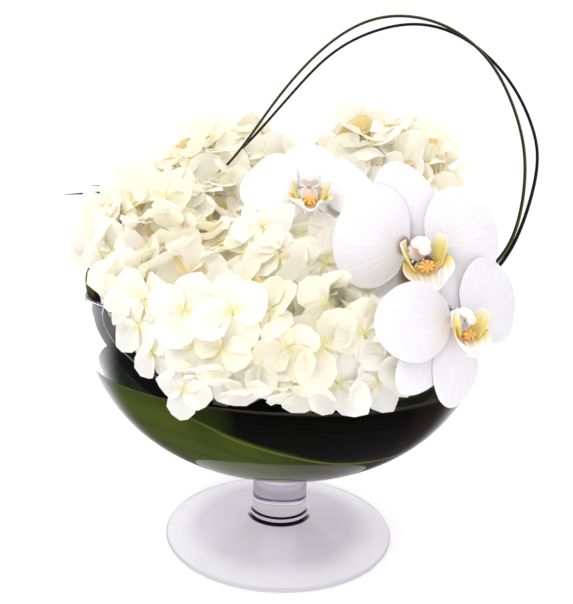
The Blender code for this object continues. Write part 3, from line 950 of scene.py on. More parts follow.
class Leaves:
    """All the leaves inside the glass."""

    olive: Colour = (0.165, 0.212, 0.024)
    deep_olive: Colour = (0.070, 0.095, 0.014)
    # Near black: painted shade for the shadow under the blossoms.
    painted_shade_black: Colour = (0.002, 0.002, 0.001)
    bronze: Colour = (0.090, 0.042, 0.016)
    tan: Colour = (0.260, 0.175, 0.105)

    def _lining(self) -> list[LiningLeaf]:
        """The leaves on the wall.

        Returns:
            The front, right and back one.
        """
        # The near-black stops are painted shade, where these leaves lie in shadow under the blossoms.
        front = BroadLeaf(
            "lining_front_look",
            stops=((0.10, self.olive), (0.48, self.olive), (0.60, self.deep_olive), (0.72, self.bronze),
                   (0.84, self.tan)),
            upper_stops=((0.10, self.olive), (0.40, self.deep_olive), (0.46, self.painted_shade_black), (0.70, self.painted_shade_black),
                         (0.79, self.bronze), (0.88, self.tan)),
            midrib_start=0.34,
        )
        right = BroadLeaf(
            "lining_right_look",
            stops=((0.0, self.painted_shade_black), (0.30, self.bronze), (1.0, self.deep_olive)),
            upper_stops=((0.0, self.painted_shade_black), (0.25, self.tan), (1.0, self.bronze)),
            midrib=(0.20, 0.14, 0.08),
        )
        back = BroadLeaf(
            "lining_back_look",
            stops=((0.0, self.deep_olive), (1.0, self.olive)),
            upper_stops=((0.0, self.olive), (1.0, self.deep_olive)),
        )
        front_midrib = (
            (150, 30), (180, 24), (210, 20), (240, 19), (250, 22), (258, 27), (272, 33), (289, 39),
            (310, 41), (330, 40), (350, 38), (368, 34),
        )
        right_midrib = ((-62, 44), (-20, 46), (30, 44), (75, 46), (110, 44))
        back_midrib = ((70, 46), (100, 43), (140, 47), (175, 44), (205, 46))
        return [
            LiningLeaf("lining_front", "lining_leaf_front", front_midrib, -0.0003, front, Slot.GREEN_LEAF),
            LiningLeaf("lining_right", "lining_leaf_right", right_midrib, 0.0008, right, Slot.BRONZE_LEAF),
            LiningLeaf("lining_back", "lining_leaf_back", back_midrib, 0.0016, back, Slot.GREEN_LEAF),
        ]

    def _standing(self) -> list[StandingLeaf]:
        """The leaves that stand inside the left wall.

        Returns:
            The purple and the green one.
        """
        # Both standing leaves darken along their length to near black: painted shade where they pass into
        # the shadow under the blossoms.
        purple = BroadLeaf(
            "standing_purple_look",
            stops=((0.0, (0.10, 0.14, 0.02)), (0.15, (0.09, 0.12, 0.02)), (0.22, (0.020, 0.006, 0.018)),
                   (0.45, (0.006, 0.002, 0.006)), (0.6, (0.001, 0.001, 0.001))),
            upper_stops=((0.0, (0.030, 0.010, 0.030)), (0.22, (0.022, 0.007, 0.022)),
                         (0.45, (0.004, 0.003, 0.004)), (0.6, (0.001, 0.001, 0.001))),
            midrib=(0.05, 0.06, 0.03), edge=(0.36, 0.46, 0.34), edge_highlight_width=0.07, shine=0.0,
        )
        purple_route = (
            (191, 17.7, 0.10, -0.25, 1.0), (193, 17.3, 0.50, -0.15, 1.0), (196, 16.7, 0.75, 0.0, 0.95),
            (200, 16.0, 0.75, 0.2, 0.8), (204, 15.5, 0.70, 0.3, 0.6), (209, 14.95, 0.70, 0.30, 0.4),
            (216.6, 14.3, 0.70, 0.30, 0.2), (225, 13.55, 0.80, 0.35, 0.1), (233, 12.9, 0.90, 0.40, 0.0),
            (240, 12.5, 1.10, 0.50, 0.0), (250, 12.3, 1.40, 0.70, 0.0), (264, 12.3, 1.60, 0.80, 0.0),
            (282, 12.4, 1.60, 0.80, 0.0), (300, 12.6, 1.40, 0.80, 0.0),
        )
        teal = BroadLeaf(
            "standing_green_look",
            stops=((0.0, (0.07, 0.12, 0.02)), (0.30, (0.002, 0.008, 0.006)), (0.55, (0.001, 0.004, 0.001)),
                   (0.80, (0.001, 0.001, 0.001))),
            upper_stops=((0.0, (0.06, 0.10, 0.02)), (0.30, (0.008, 0.045, 0.032)),
                         (0.55, (0.010, 0.036, 0.008)), (0.80, (0.001, 0.002, 0.001))),
            midrib=(0.10, 0.17, 0.05), edge=(0.20, 0.30, 0.16), shine=0.0,
        )
        teal_route = (
            (188, 17.5, 0.40, 0.85, 1.0), (193, 16.9, 0.55, 0.95, 1.0), (199, 15.9, 0.80, 1.0, 0.9),
            (205, 15.0, 1.10, 1.0, 0.7), (212, 14.1, 1.40, 0.95, 0.5), (220, 13.3, 1.80, 0.95, 0.2),
            (229, 12.7, 2.10, 1.00, 0.0), (240, 12.3, 2.00, 1.10, 0.0), (256, 12.0, 1.60, 1.20, 0.0),
        )
        return [
            StandingLeaf("standing_purple", "standing_leaf_purple", purple_route, purple, Slot.PURPLE_LEAF),
            StandingLeaf("standing_green", "standing_leaf_green", teal_route, teal, Slot.GREEN_LEAF),
        ]

    def build(self) -> None:
        """Builds every leaf."""
        for leaf in (*self._lining(), *self._standing()):
            leaf.build()


# ---- Hydrangeas ----


def fan_radius(angle: float, length: float, width: float) -> float:
    """Outline of a petal, an ellipse that starts at its claw.

    Args:
        angle: Angle off its middle line, in radians.
        length: Its length.
        width: Its width.

    Returns:
        How far it reaches from its claw at that angle.
    """
    half = length / 2
    across, out = math.sin(angle) / (width / 2), math.cos(angle) / half
    return 2 * math.cos(angle) / half / (across**2 + out**2)


def mark(obj: bpy.types.Object, ripe: float = 0.0, deep: float = 0.0) -> None:
    """Stores numbers on a piece's points, for its finish to read.

    Args:
        obj: The piece.
        ripe: How white it is.
        deep: How far inside its head it lies, which sets its painted golden shade.
    """
    for name, number in (("ripe", ripe), ("deep", deep)):
        values = obj.data.attributes.new(name, "FLOAT", "POINT").data
        values.foreach_set("value", [number] * len(values))


@dataclass(frozen=True)
class Blossom:
    """One hydrangea blossom: four broad sepals round a tiny bead, on a thin stalk."""

    length: float = 0.0190
    width: float = 0.0212
    spread: float = 75.0

    def _sepal(self, index: int, draw: random.Random) -> bpy.types.Object:
        """Bends one sepal and turns it to its place.

        Args:
            index: Which of the four it is.
            draw: Where its small differences come from.

        Returns:
            The sepal.
        """
        turn = Matrix.Rotation(math.radians(90 * index + draw.uniform(-9, 9)), 4, "Z")
        size = draw.uniform(0.88, 1.10)
        rise = draw.uniform(-0.0030, 0.0065)
        curl = draw.uniform(-0.0028, 0.0046)
        lean = draw.uniform(-0.0020, 0.0020)
        phase = draw.uniform(0, math.tau)
        base = 0.0006 if index % 2 else -0.0002

        def shape(side: float, t: float) -> Vector:
            """A point of the sepal."""
            angle = math.radians(self.spread * side)
            point = 1.0 + 0.07 * max(0.0, 1 - 3.2 * abs(side))
            reach = (0.015 + 0.985 * t) * fan_radius(angle, self.length, self.width) * size * point
            across, out = reach * math.sin(angle), reach * math.cos(angle)
            share = out / self.length
            z = base + rise * share**2 + curl * (2 * across / self.width) ** 2 + lean * side * t
            z += 0.0015 * t**2 * math.sin(6.5 * side + phase) - 0.0014 * math.sin(math.pi * min(share, 1.0))
            return Vector((across, out + 0.0002, z))

        sepal = bent_grid("sepal", 8, 2, shape)
        sepal.data.transform(turn)
        return sepal

    def build(self, index: int) -> bpy.types.Object:
        """Models one variant of the blossom.

        Args:
            index: Which variant, which also seeds its small differences.

        Returns:
            The blossom, centred on its bead and facing +Z.
        """
        draw = random.Random(900 + index)
        parts = [self._sepal(i, draw) for i in range(4)]
        for sepal in parts:
            mark(sepal)
        deselect()
        bpy.ops.mesh.primitive_uv_sphere_add(segments=4, ring_count=3, radius=0.0008, calc_uvs=True)
        parts.append(bpy.context.object)
        parts[-1].data.transform(Matrix.Translation((0, 0, 0.0006)))
        bpy.ops.mesh.primitive_cone_add(
            vertices=4, radius1=0.0005, radius2=0.0007, depth=0.016, end_fill_type="NOTHING", calc_uvs=True
        )
        parts.append(bpy.context.object)
        parts[-1].data.transform(Matrix.Translation((0, 0, -0.008)))
        # Bead and stalk take some painted golden shade.
        for bead_or_stalk in parts[4:]:
            mark(bead_or_stalk, deep=0.30)
        blossom = join(f"blossom_{index}", parts)
        smooth(blossom, 60.0)
        return blossom


class FlowerRoom:
    """The space that blossoms may fill: inside the glass, off the leaves and behind the orchids."""

    leaf_route = ((172, 17.4), (186, 17.4), (208, 16.7), (219, 15.6), (229, 14.5), (240, 13.4), (250, 12.4))
    leaf_radius = 0.1180
    leaf_lean = 0.12
    leaf_gap = 0.0105
    lining_gap = 0.0030
    wall_gap = 0.0016
    outer_gap = 0.0010
    rim_clearance = 0.004
    widening = 1.5
    shelf = (-0.055, 0.1370)
    bloom_radius = 0.050
    bloom_front = 0.020
    bloom_back = -0.0078

    def __init__(self, orchids: Sequence["OrchidBloom"]) -> None:
        """Keeps the orchids' frames."""
        self.frames = [(orchid.matrix(), orchid.low_side) for orchid in orchids]

    def _leaf_top(self, turn: float) -> float:
        """Finds the standing leaf's top.

        Args:
            turn: A turn about +Z, in degrees.

        Returns:
            Its height there, or 0 where there is none.
        """
        for (a, za), (b, zb) in zip(self.leaf_route, self.leaf_route[1:]):
            if a <= turn <= b:
                return (za + (zb - za) * (turn - a) / (b - a)) * CM
        return 0.0

    def widest(self, x: float, y: float, z: float) -> float:
        """Says how far out a blossom may reach.

        Args:
            x: Place of a point of it to the right.
            y: Its place to the back.
            z: Its height.

        Returns:
            The largest radius there.
        """
        if z < self._leaf_top(math.degrees(math.atan2(y, x)) % 360) + 0.002:
            leaf = self.leaf_radius - max(0.0, 0.156 - z) * self.leaf_lean
            return min(inside_wall(z, self.lining_gap), leaf) - self.leaf_gap
        if z < WATERLINE_Z + 0.001:
            return inside_wall(z) - self.lining_gap
        if z < RIM_Z + self.rim_clearance:
            return inside_wall(z) - self.wall_gap
        return inside_wall(RIM_Z) - self.wall_gap + (z - RIM_Z - self.rim_clearance) * self.widening

    def settle(self, point: Vector, outside: bool = False) -> Vector:
        """Moves a point of a blossom into the room.

        Args:
            point: The point.
            outside: Whether its blossom hangs outside the glass.

        Returns:
            The moved point.
        """
        reach = math.hypot(point.x, point.y)
        goal = reach if outside else min(reach, self.widest(*point))
        if outside and point.z < RIM_Z + 0.0012:
            goal = max(reach, bowl_outline(BOWL_RADIUS, BOWL_DEPTH, point.z) + self.outer_gap)
        if goal != reach:
            point = Vector((point.x * goal / reach, point.y * goal / reach, point.z))
        if not outside and point.x < self.shelf[0]:
            point.z = max(point.z, self.shelf[1])
        for matrix, low_side in self.frames:
            local = matrix.inverted() @ point
            near = math.hypot(local.x, local.y) < self.bloom_radius and local.y > low_side
            if near and self.bloom_back < local.z < self.bloom_front:
                local.z = self.bloom_back
                point = matrix @ local
        return point


@dataclass(frozen=True)
class Spot:
    """Where one chosen blossom goes, in centimetres and degrees."""

    place: Place
    facing: Place
    roll: float
    size: float
    white: float
    outside: bool = False
    deep: float = 0.0


@dataclass
class HydrangeaHead:
    """One rounded head of white blossoms over a core dimmed as painted shade, in centimetres.

    layers lists how far a layer of blossoms is sunk, how much painted golden shade it takes and how much
    looser than spacing.
    """

    name: str
    centre: Place
    radii: Place
    seed: int
    spacing: float = 1.92
    layers: tuple[Place, ...] = ((0.50, 0.0, 1.0), (1.45, 0.75, 1.15))
    lowest: float = 13.2
    core_sunk: float = 1.75
    core_floor: float = 0.1330
    neighbour: float = 0.80
    extras: tuple[Spot, ...] = ()

    def _covers(self, point: Vector, share: float) -> bool:
        """Whether a point, in centimetres, lies well inside this head."""
        return sum(((p - c) / r) ** 2 for p, c, r in zip(point, self.centre, self.radii)) < share

    def _places(self, heads: Sequence["HydrangeaHead"]) -> Iterable[Spot]:
        """Spreads layers of blossoms evenly over the head, and then adds the chosen ones.

        Args:
            heads: All the heads.

        Returns:
            Every blossom's spot.
        """
        draw = random.Random(self.seed)
        area = 4 * math.pi * (sum(self.radii) / 3) ** 2
        others = [other for other in heads if other is not self]
        for sunk, deep, looser in self.layers:
            count = int(area / (self.spacing * looser) ** 2)
            for i in range(count):
                z = 1 - 2 * (i + 0.5) / count
                around = i * math.pi * (3 - math.sqrt(5)) + draw.uniform(-0.12, 0.12)
                flat = math.sqrt(1 - z * z)
                unit = Vector((flat * math.cos(around), flat * math.sin(around), z))
                normal = Vector(u / r for u, r in zip(unit, self.radii)).normalized()
                depth = sunk + draw.uniform(-0.25, 0.35)
                skin = Vector(c + u * r for c, u, r in zip(self.centre, unit, self.radii))
                point = skin - normal * depth
                tilt = Vector((draw.gauss(0, 1), draw.gauss(0, 1), draw.gauss(0, 1))) * 0.40
                spot = Spot(tuple(point), tuple((normal + tilt).normalized()), draw.uniform(0, 360),
                            draw.uniform(0.86, 1.12), draw.random(), deep=deep)
                covered = any(other._covers(point, self.neighbour) for other in others)
                if point.z >= self.lowest and not covered:
                    yield spot
        yield from self.extras

    def _core(self) -> bpy.types.Object:
        """Shapes the dim inside, a lumpy ball within the blossoms.

        Returns:
            The core.
        """
        deselect()
        bpy.ops.mesh.primitive_ico_sphere_add(subdivisions=4, radius=1.0, calc_uvs=True)
        core = bpy.context.object
        for vertex in core.data.vertices:
            lump = 1 + 0.05 * noise.noise(vertex.co * 4.0)
            inner = [r - self.core_sunk for r in self.radii]
            place = Vector((c + v * r * lump) * CM for c, v, r in zip(self.centre, vertex.co, inner))
            place.z = max(place.z, self.core_floor)
            vertex.co = place
        mark(core)
        return core

    def build(
        self, blossoms: Sequence[bpy.types.Object], heads: Sequence["HydrangeaHead"], room: FlowerRoom,
        petal: bpy.types.Material, dim: bpy.types.Material,
    ) -> None:
        """Places the blossoms and joins them.

        Args:
            blossoms: The modelled variants.
            heads: All the heads, so that blossoms aren't put inside a neighbour.
            room: The space the blossoms may fill.
            petal: Material of the blossoms.
            dim: Material of the core.
        """
        draw = random.Random(self.seed + 77)
        core = self._core()
        for vertex in core.data.vertices:
            vertex.co = room.settle(vertex.co)
        paint(core, dim)
        pieces = [core]
        for spot in self._places(heads):
            matrix = frame_towards(Vector(spot.place) * CM, Vector(spot.facing), spot.roll, spot.size)
            piece = copy_mesh(draw.choice(blossoms), matrix)
            paint(piece, petal)
            for i, vertex in enumerate(piece.data.vertices):
                vertex.co = room.settle(vertex.co, spot.outside)
                piece.data.attributes["ripe"].data[i].value = spot.white
                piece.data.attributes["deep"].data[i].value += spot.deep
            pieces.append(piece)
        head = join("hydrangea_" + self.name, pieces)
        release(head, Slot.HYDRANGEA, "hydrangea_head_" + self.name)


class Hydrangeas:
    """The five heads."""

    # Place, facing, roll, size and whiteness of the front head's chosen blossoms, and whether they hang
    # outside the glass.
    chosen = (
        ((-4.75, -11.80, 13.2), (-0.42, -1.0, 0.0), -14, 0.74, 1.0, True),
        ((-3.3, -12.2, 13.9), (-0.1, -0.45, -0.75), 20, 0.85, 0.7, True),
        ((-1.2, -12.1, 13.4), (0.0, -0.35, -0.9), 50, 1.0, 0.7, True),
        ((0.7, -12.2, 13.5), (0.1, -0.45, -0.8), 10, 0.85, 0.5, True),
        ((2.55, -12.3, 13.9), (0.20, -1.0, 0.05), 42, 0.92, 0.9, True),
        ((4.5, -11.7, 13.9), (0.40, -1.0, -0.05), 30, 0.88, 0.8, True),
        ((-8.2, -9.5, 17.1), (-0.6, -0.8, 0.30), 10, 0.70, 0.7, True),
        ((-7.2, -10.4, 16.0), (-0.5, -0.85, 0.10), 40, 0.80, 0.9, True),
        ((-6.4, -11.0, 14.8), (-0.5, -0.85, 0.00), 65, 0.78, 0.8, True),
        ((-2.5, -12.35, 14.9), (-0.15, -1.0, 0.25), 35, 0.88, 0.8, True),
        ((-0.9, -12.50, 14.8), (0.0, -1.0, 0.35), 75, 0.85, 0.6, True),
        ((0.7, -12.40, 15.0), (0.1, -1.0, 0.20), 15, 0.90, 0.9, True),
        ((-1.4, -7.8, 20.9), (-0.2, -0.80, 0.60), 20, 0.95, 0.9),
        ((0.6, -8.1, 20.4), (0.1, -0.85, 0.50), 60, 0.85, 0.6),
        ((2.5, -8.1, 20.3), (0.3, -0.85, 0.40), 35, 0.90, 0.8),
        ((-0.4, -9.2, 19.4), (0.0, -0.90, 0.30), 10, 0.95, 0.7),
        ((1.9, -9.2, 19.2), (0.2, -0.90, 0.20), 70, 0.95, 0.9),
        ((3.7, -11.6, 17.5), (0.2, -0.95, 0.20), 25, 0.95, 0.8, True),
        ((4.5, -11.9, 16.1), (0.4, -0.90, 0.10), 55, 0.90, 0.7, True),
        ((5.6, -11.6, 14.9), (0.5, -0.85, 0.00), 15, 0.90, 0.9, True),
    )

    @staticmethod
    def _overhang() -> Iterable[Spot]:
        """Spreads two rows of the front head's blossoms that hang over the bowl's rim.

        Returns:
            Their spots.
        """
        draw = random.Random(4)
        rows = ((12.70, 17.4, 238, 7), (12.95, 15.9, 246, 6))
        for row, (radius, height, start, count) in enumerate(rows):
            for i in range(count):
                turn = math.radians(start + i * 9.6 + row * 3 + draw.uniform(-2.5, 2.5))
                out = Vector((math.cos(turn), math.sin(turn), 0.0))
                reach = radius + draw.uniform(-0.2, 0.15)
                place = out * reach + Vector((0, 0, height + draw.uniform(-0.5, 0.5)))
                lean = 0.15 - 0.25 * row
                tilt = Vector((draw.gauss(0, 0.28), draw.gauss(0, 0.28), lean + draw.gauss(0, 0.25)))
                yield Spot(tuple(place), tuple((out + tilt).normalized()), draw.uniform(0, 360),
                           draw.uniform(0.80, 1.0), draw.random(), outside=True)

    def __init__(self) -> None:
        """Places the heads."""
        extras = (*(Spot(*row) for row in self.chosen), *self._overhang())
        self.heads = [
            HydrangeaHead("front", (-2.2, -5.2, 14.8), (8.8, 6.6, 6.1), 11, extras=extras),
            HydrangeaHead("left", (-7.0, 1.6, 18.0), (6.2, 6.3, 5.9), 23),
            HydrangeaHead("back_left", (-4.4, 6.0, 20.8), (6.2, 5.9, 6.4), 35),
            HydrangeaHead("back_right", (6.0, 5.6, 21.2), (6.3, 6.0, 6.7), 47),
            HydrangeaHead("right", (7.3, -2.6, 16.2), (5.0, 5.1, 4.3), 59),
        ]

    def build(self, room: FlowerRoom) -> None:
        """Models the blossom variants once, and covers every head with copies.

        Args:
            room: The space the blossoms may fill.
        """
        variants = [Blossom().build(i) for i in range(9)]
        petal = BlossomPetal().build()
        dim = HeadCore().build()
        for head in self.heads:
            head.build(variants, self.heads, room, petal, dim)
        for variant in variants:
            bpy.data.objects.remove(variant)


# ---- Orchids ----


@dataclass(frozen=True)
class Tepal:
    """Sizes of one orchid petal or sepal, in metres. turn is from the top of the bloom, in degrees."""

    part: str
    turn: float
    length: float
    width: float
    setback: float = 0.0
    dome: float = 0.0020
    recurve: float = 0.0030
    ruffle: float = 0.0005
    point: float = 0.0


@dataclass
class OrchidBloom:
    """One moth orchid: three sepals behind two broad petals, and the lip and column in front."""

    name: str
    centre: Place
    facing: Place
    roll: float
    scale: float
    seed: int
    low_side: float = -0.060
    stem: tuple[Place, ...] = ()
    tepals: tuple[Tepal, ...] = (
        Tepal("top_sepal", 0, 0.0420, 0.0270, 0.0034, point=0.05),
        Tepal("left_sepal", 157, 0.0465, 0.0310, 0.0050, point=0.06),
        Tepal("right_sepal", -151, 0.0465, 0.0310, 0.0034, point=0.06),
        Tepal("left_petal", 74, 0.0365, 0.0490, dome=0.0030, recurve=0.0034, ruffle=0.0009),
        Tepal("right_petal", -74, 0.0365, 0.0490, dome=0.0030, recurve=0.0034, ruffle=0.0009),
    )
    turns: dict[str, float] = field(default_factory=dict)
    spans: dict[str, tuple[float, float]] = field(default_factory=dict)
    claw_gap: float = 0.0040
    lip_drop: float = 0.0015
    drooping: float = 0.0
    lip_size: float = 1.42
    looks: dict[str, dict] = field(default_factory=dict)

    def matrix(self) -> Matrix:
        """Frame of the bloom: +Z faces out of it, +Y is the way its top sepal points."""
        return frame_towards(Vector(self.centre) * CM, Vector(self.facing), self.roll, self.scale)

    def _tepal(self, tepal: Tepal, index: int) -> bpy.types.Object:
        """Bends one petal or sepal.

        Args:
            tepal: Its sizes.
            index: Its number, which seeds its small differences.

        Returns:
            The piece.
        """
        draw = random.Random(self.seed * 31 + index)
        phase = draw.uniform(0, math.tau)
        skew = draw.uniform(-0.05, 0.05)
        recurve = tepal.recurve + (self.drooping if tepal.part in ("left_sepal", "right_sepal") else 0.0)
        turn = self.turns.get(tepal.part, tepal.turn)
        longer, wider = self.spans.get(tepal.part, (1.0, 1.0))
        length, width = tepal.length * longer, tepal.width * wider

        def shape(side: float, t: float) -> Vector:
            """A point of the petal, from its claw."""
            angle = math.radians(78 * side)
            tip = 1.0 + tepal.point * max(0.0, 1 - 4.0 * abs(side))
            reach = (0.04 + 0.96 * t) * fan_radius(angle, length, width) * tip
            reach *= 1 + skew * side + 0.012 * math.sin(6 * side + phase)
            across, out = reach * math.sin(angle), reach * math.cos(angle)
            share = out / length
            z = tepal.dome * math.sin(math.pi * min(1.0, share)) - recurve * share**2 * t**2
            z -= 0.35 * tepal.dome * (2 * across / width) ** 2
            z += tepal.ruffle * t**3 * math.sin(8 * side + phase)
            return Vector((across, out + self.claw_gap, z - tepal.setback))

        piece = bent_grid(f"{self.name}_{tepal.part}", 26, 22, shape)
        piece.data.transform(self.matrix() @ Matrix.Rotation(math.radians(turn), 4, "Z"))
        thicken(piece, 0.0006, rounded=True)
        smooth(piece)
        return piece

    def _lobe(self, side: int) -> bpy.types.Object:
        """Bends one of the two side lobes that stand up beside the column.

        Args:
            side: -1 for the left one and 1 for the right one.

        Returns:
            The lobe.
        """

        def shape(across: float, t: float) -> Vector:
            """A point of the lobe."""
            wide = 0.0046 * math.sin(math.pi * (0.20 + 0.66 * t)) ** 0.7
            x = side * (0.0044 + 0.0030 * math.sin(1.35 * t) + 0.0014 * across * t)
            y = -0.0056 + 0.0100 * t
            z = 0.0050 + 0.0042 * t + across * wide * 0.70
            return Vector((x - side * 0.0012 * across**2, y - across * wide * 0.35, z))

        return bent_grid(f"lobe_{side}", 8, 10, shape)

    def _mid_lobe(self) -> bpy.types.Object:
        """Bends the tongue, a trough with raised sides that narrows to its tip.

        Returns:
            The tongue.
        """

        def shape(across: float, t: float) -> Vector:
            """A point of the tongue."""
            wide = 0.0074 * (1 - 0.55 * t**2.2) * (1 + 0.20 * math.sin(math.pi * min(1, t * 1.4)))
            y = -0.0046 - 0.0084 * math.sin(1.45 * t)
            z = 0.0038 + 0.0075 * t + 0.0052 * across**2 * (1 - 0.4 * t)
            return Vector((across * wide, y + 0.0030 * across**2, z))

        return bent_grid("tongue", 12, 14, shape)

    def _callus(self) -> bpy.types.Object:
        """Shapes the two-humped crest at the foot of the tongue.

        Returns:
            The crest.
        """

        def shape(x: float, y: float, z: float) -> Place:
            """A point of the crest."""
            hump = 1.0 - 0.45 * math.cos(math.pi * x)
            return x * 0.0030, -0.0046 + y * 0.0021, 0.0074 + z * 0.0020 * hump

        return ball(20, 12, shape)

    def _cirrus(self, side: int) -> bpy.types.Object:
        """Bends one of the two thin curls at the tongue's tip.

        Args:
            side: -1 for the left one and 1 for the right one.

        Returns:
            The curl.
        """
        bend = 0.0026
        deselect()
        bpy.ops.mesh.primitive_circle_add(vertices=8, radius=0.0005, fill_type="NGON")
        curl = bpy.context.object
        bpy.ops.object.mode_set(mode="EDIT")
        bpy.ops.mesh.select_all(action="SELECT")
        for i in range(9):
            bpy.ops.mesh.extrude_region_move(TRANSFORM_OT_translate={"value": (0, 0, 0.0008)})
            bpy.ops.transform.resize(value=(0.88, 0.88, 0.88))
        bpy.ops.object.mode_set(mode="OBJECT")
        for vertex in curl.data.vertices:
            x, y, z = vertex.co
            angle = z / bend
            z = (bend + y) * math.sin(angle)
            back = bend - (bend + y) * math.cos(angle)
            vertex.co = Vector((side * (0.0016 + 0.0012 * angle / 2) + x, -0.0122 + back, 0.0090 + z * 0.8))
        return curl

    def _column(self) -> bpy.types.Object:
        """Shapes the column over the lip: a short arched hood with a rounded cap, on a hub.

        Returns:
            The column.
        """

        def hood(x: float, y: float, z: float) -> Place:
            """A point of the hood."""
            share = (z + 1) / 2
            wide = 0.0026 + 0.0008 * math.sin(math.pi * share)
            hollow = 0.45 if y < -0.1 else 1.0
            return x * wide, 0.0022 + y * 0.0025 * hollow - 0.0022 * share**2, 0.0008 + 0.0088 * share

        return join(f"{self.name}_column", [
            ball(28, 20, hood),
            ball(20, 14, lambda x, y, z: (x * 0.0021, -0.0004 + y * 0.0017, 0.0092 + z * 0.0014)),
            ball(20, 14, lambda x, y, z: (x * 0.0036, y * 0.0036, -0.0012 + z * 0.0026)),
        ])

    def _grow(self, piece: bpy.types.Object, drop: float = 0.0) -> None:
        """Puts the lip or the column on the bloom, at its size.

        Args:
            piece: The piece, in the bloom's own frame.
            drop: How far below the bloom's middle it sits.
        """
        grown = Matrix.Diagonal((self.lip_size, self.lip_size, 0.85 * self.lip_size, 1.0))
        piece.data.transform(self.matrix() @ Matrix.Translation((0, -drop, 0)) @ grown)
        smooth(piece, 60.0)

    def _lip(self) -> bpy.types.Object:
        """Joins the whole lip with its own colours.

        Returns:
            The lip.
        """
        white_cup = LipFinish(f"{self.name}_tongue_look", (
            (0.0, (0.80, 0.55, 0.10)), (0.22, (0.88, 0.78, 0.42)), (0.45, (0.93, 0.91, 0.86)),
            (1.0, (0.93, 0.92, 0.90))), spotted=0.15).build()
        lobe_look = LipFinish(f"{self.name}_lobe_look", (
            (0.0, (0.78, 0.42, 0.08)), (0.25, (0.80, 0.70, 0.20)), (0.60, (0.80, 0.76, 0.22)),
            (1.0, (0.92, 0.90, 0.78))), spotted=0.35).build()
        crest_look = LipFinish(f"{self.name}_crest_look", (
            (0.0, (0.75, 0.32, 0.03)), (0.5, (0.86, 0.50, 0.05)), (1.0, (0.88, 0.62, 0.12)),
        ), spotted=0.9).build()
        sheets = [self._mid_lobe(), self._lobe(-1), self._lobe(1)]
        for sheet, look in zip(sheets, (white_cup, lobe_look, lobe_look)):
            thicken(sheet, 0.0005, rounded=True)
            paint(sheet, look)
        crest = self._callus()
        paint(crest, crest_look)
        curls = [self._cirrus(-1), self._cirrus(1)]
        for curl in curls:
            paint(curl, white_cup)
        lip = join(f"{self.name}_lip", [*sheets, crest, *curls])
        self._grow(lip, self.lip_drop)
        return lip

    def _stem(self) -> bpy.types.Object:
        """Bends a grid to a tube along the stalk's route, and closes it.

        Returns:
            The stalk.
        """
        start = self.matrix() @ Vector((0, 0, -0.0060))
        route = [tuple(start), *(tuple(v * CM for v in place) for place in self.stem)]

        def shape(side: float, t: float) -> Vector:
            """A point of the stalk's skin."""
            here = Vector(along_route(route, t))
            ahead = Vector(along_route(route, min(1.0, t + 0.01)))
            behind = Vector(along_route(route, max(0.0, t - 0.01)))
            way = (ahead - behind).normalized()
            first = (Vector((0, 1, 0)) - way * way.y).normalized()
            second = way.cross(first)
            angle = math.pi * side
            radius = 0.0017 * (1.0 + 0.25 * (1 - t) ** 6)
            return here + radius * (math.cos(angle) * first + math.sin(angle) * second)

        stalk = bent_grid(f"{self.name}_stalk", 12, 40, shape)
        activate(stalk)
        bpy.ops.object.mode_set(mode="EDIT")
        bpy.ops.mesh.select_all(action="SELECT")
        bpy.ops.mesh.remove_doubles(threshold=0.00003)
        bpy.ops.mesh.select_all(action="DESELECT")
        bpy.ops.mesh.select_non_manifold()
        bpy.ops.mesh.edge_face_add()
        bpy.ops.mesh.select_all(action="SELECT")
        bpy.ops.mesh.normals_make_consistent(inside=False)
        bpy.ops.object.mode_set(mode="OBJECT")
        smooth(stalk)
        return stalk

    def build(self, green: bpy.types.Material) -> None:
        """Builds every piece of the bloom.

        Args:
            green: Material of its stalk.
        """
        plain = OrchidPetal(f"{self.name}_petal_look").build()
        for index, tepal in enumerate(self.tepals):
            piece = self._tepal(tepal, index)
            settings = self.looks.get(tepal.part)
            paint(piece, OrchidPetal(f"{piece.name}_look", **settings).build() if settings else plain)
            release(piece, Slot.ORCHID, f"{self.name}_orchid_{tepal.part}")
        release(self._lip(), Slot.LIP, f"{self.name}_orchid_lip")
        column = self._column()
        self._grow(column)
        paint(column, LipFinish(f"{self.name}_column_look", (
            (0.0, (0.93, 0.88, 0.86)), (0.55, (0.93, 0.90, 0.91)), (0.86, (0.92, 0.72, 0.60)),
            (1.0, (0.93, 0.88, 0.88)))).build())
        release(column, Slot.ORCHID, f"{self.name}_orchid_column")
        stalk = self._stem()
        paint(stalk, green)
        release(stalk, Slot.STEM, f"{self.name}_orchid_stem")


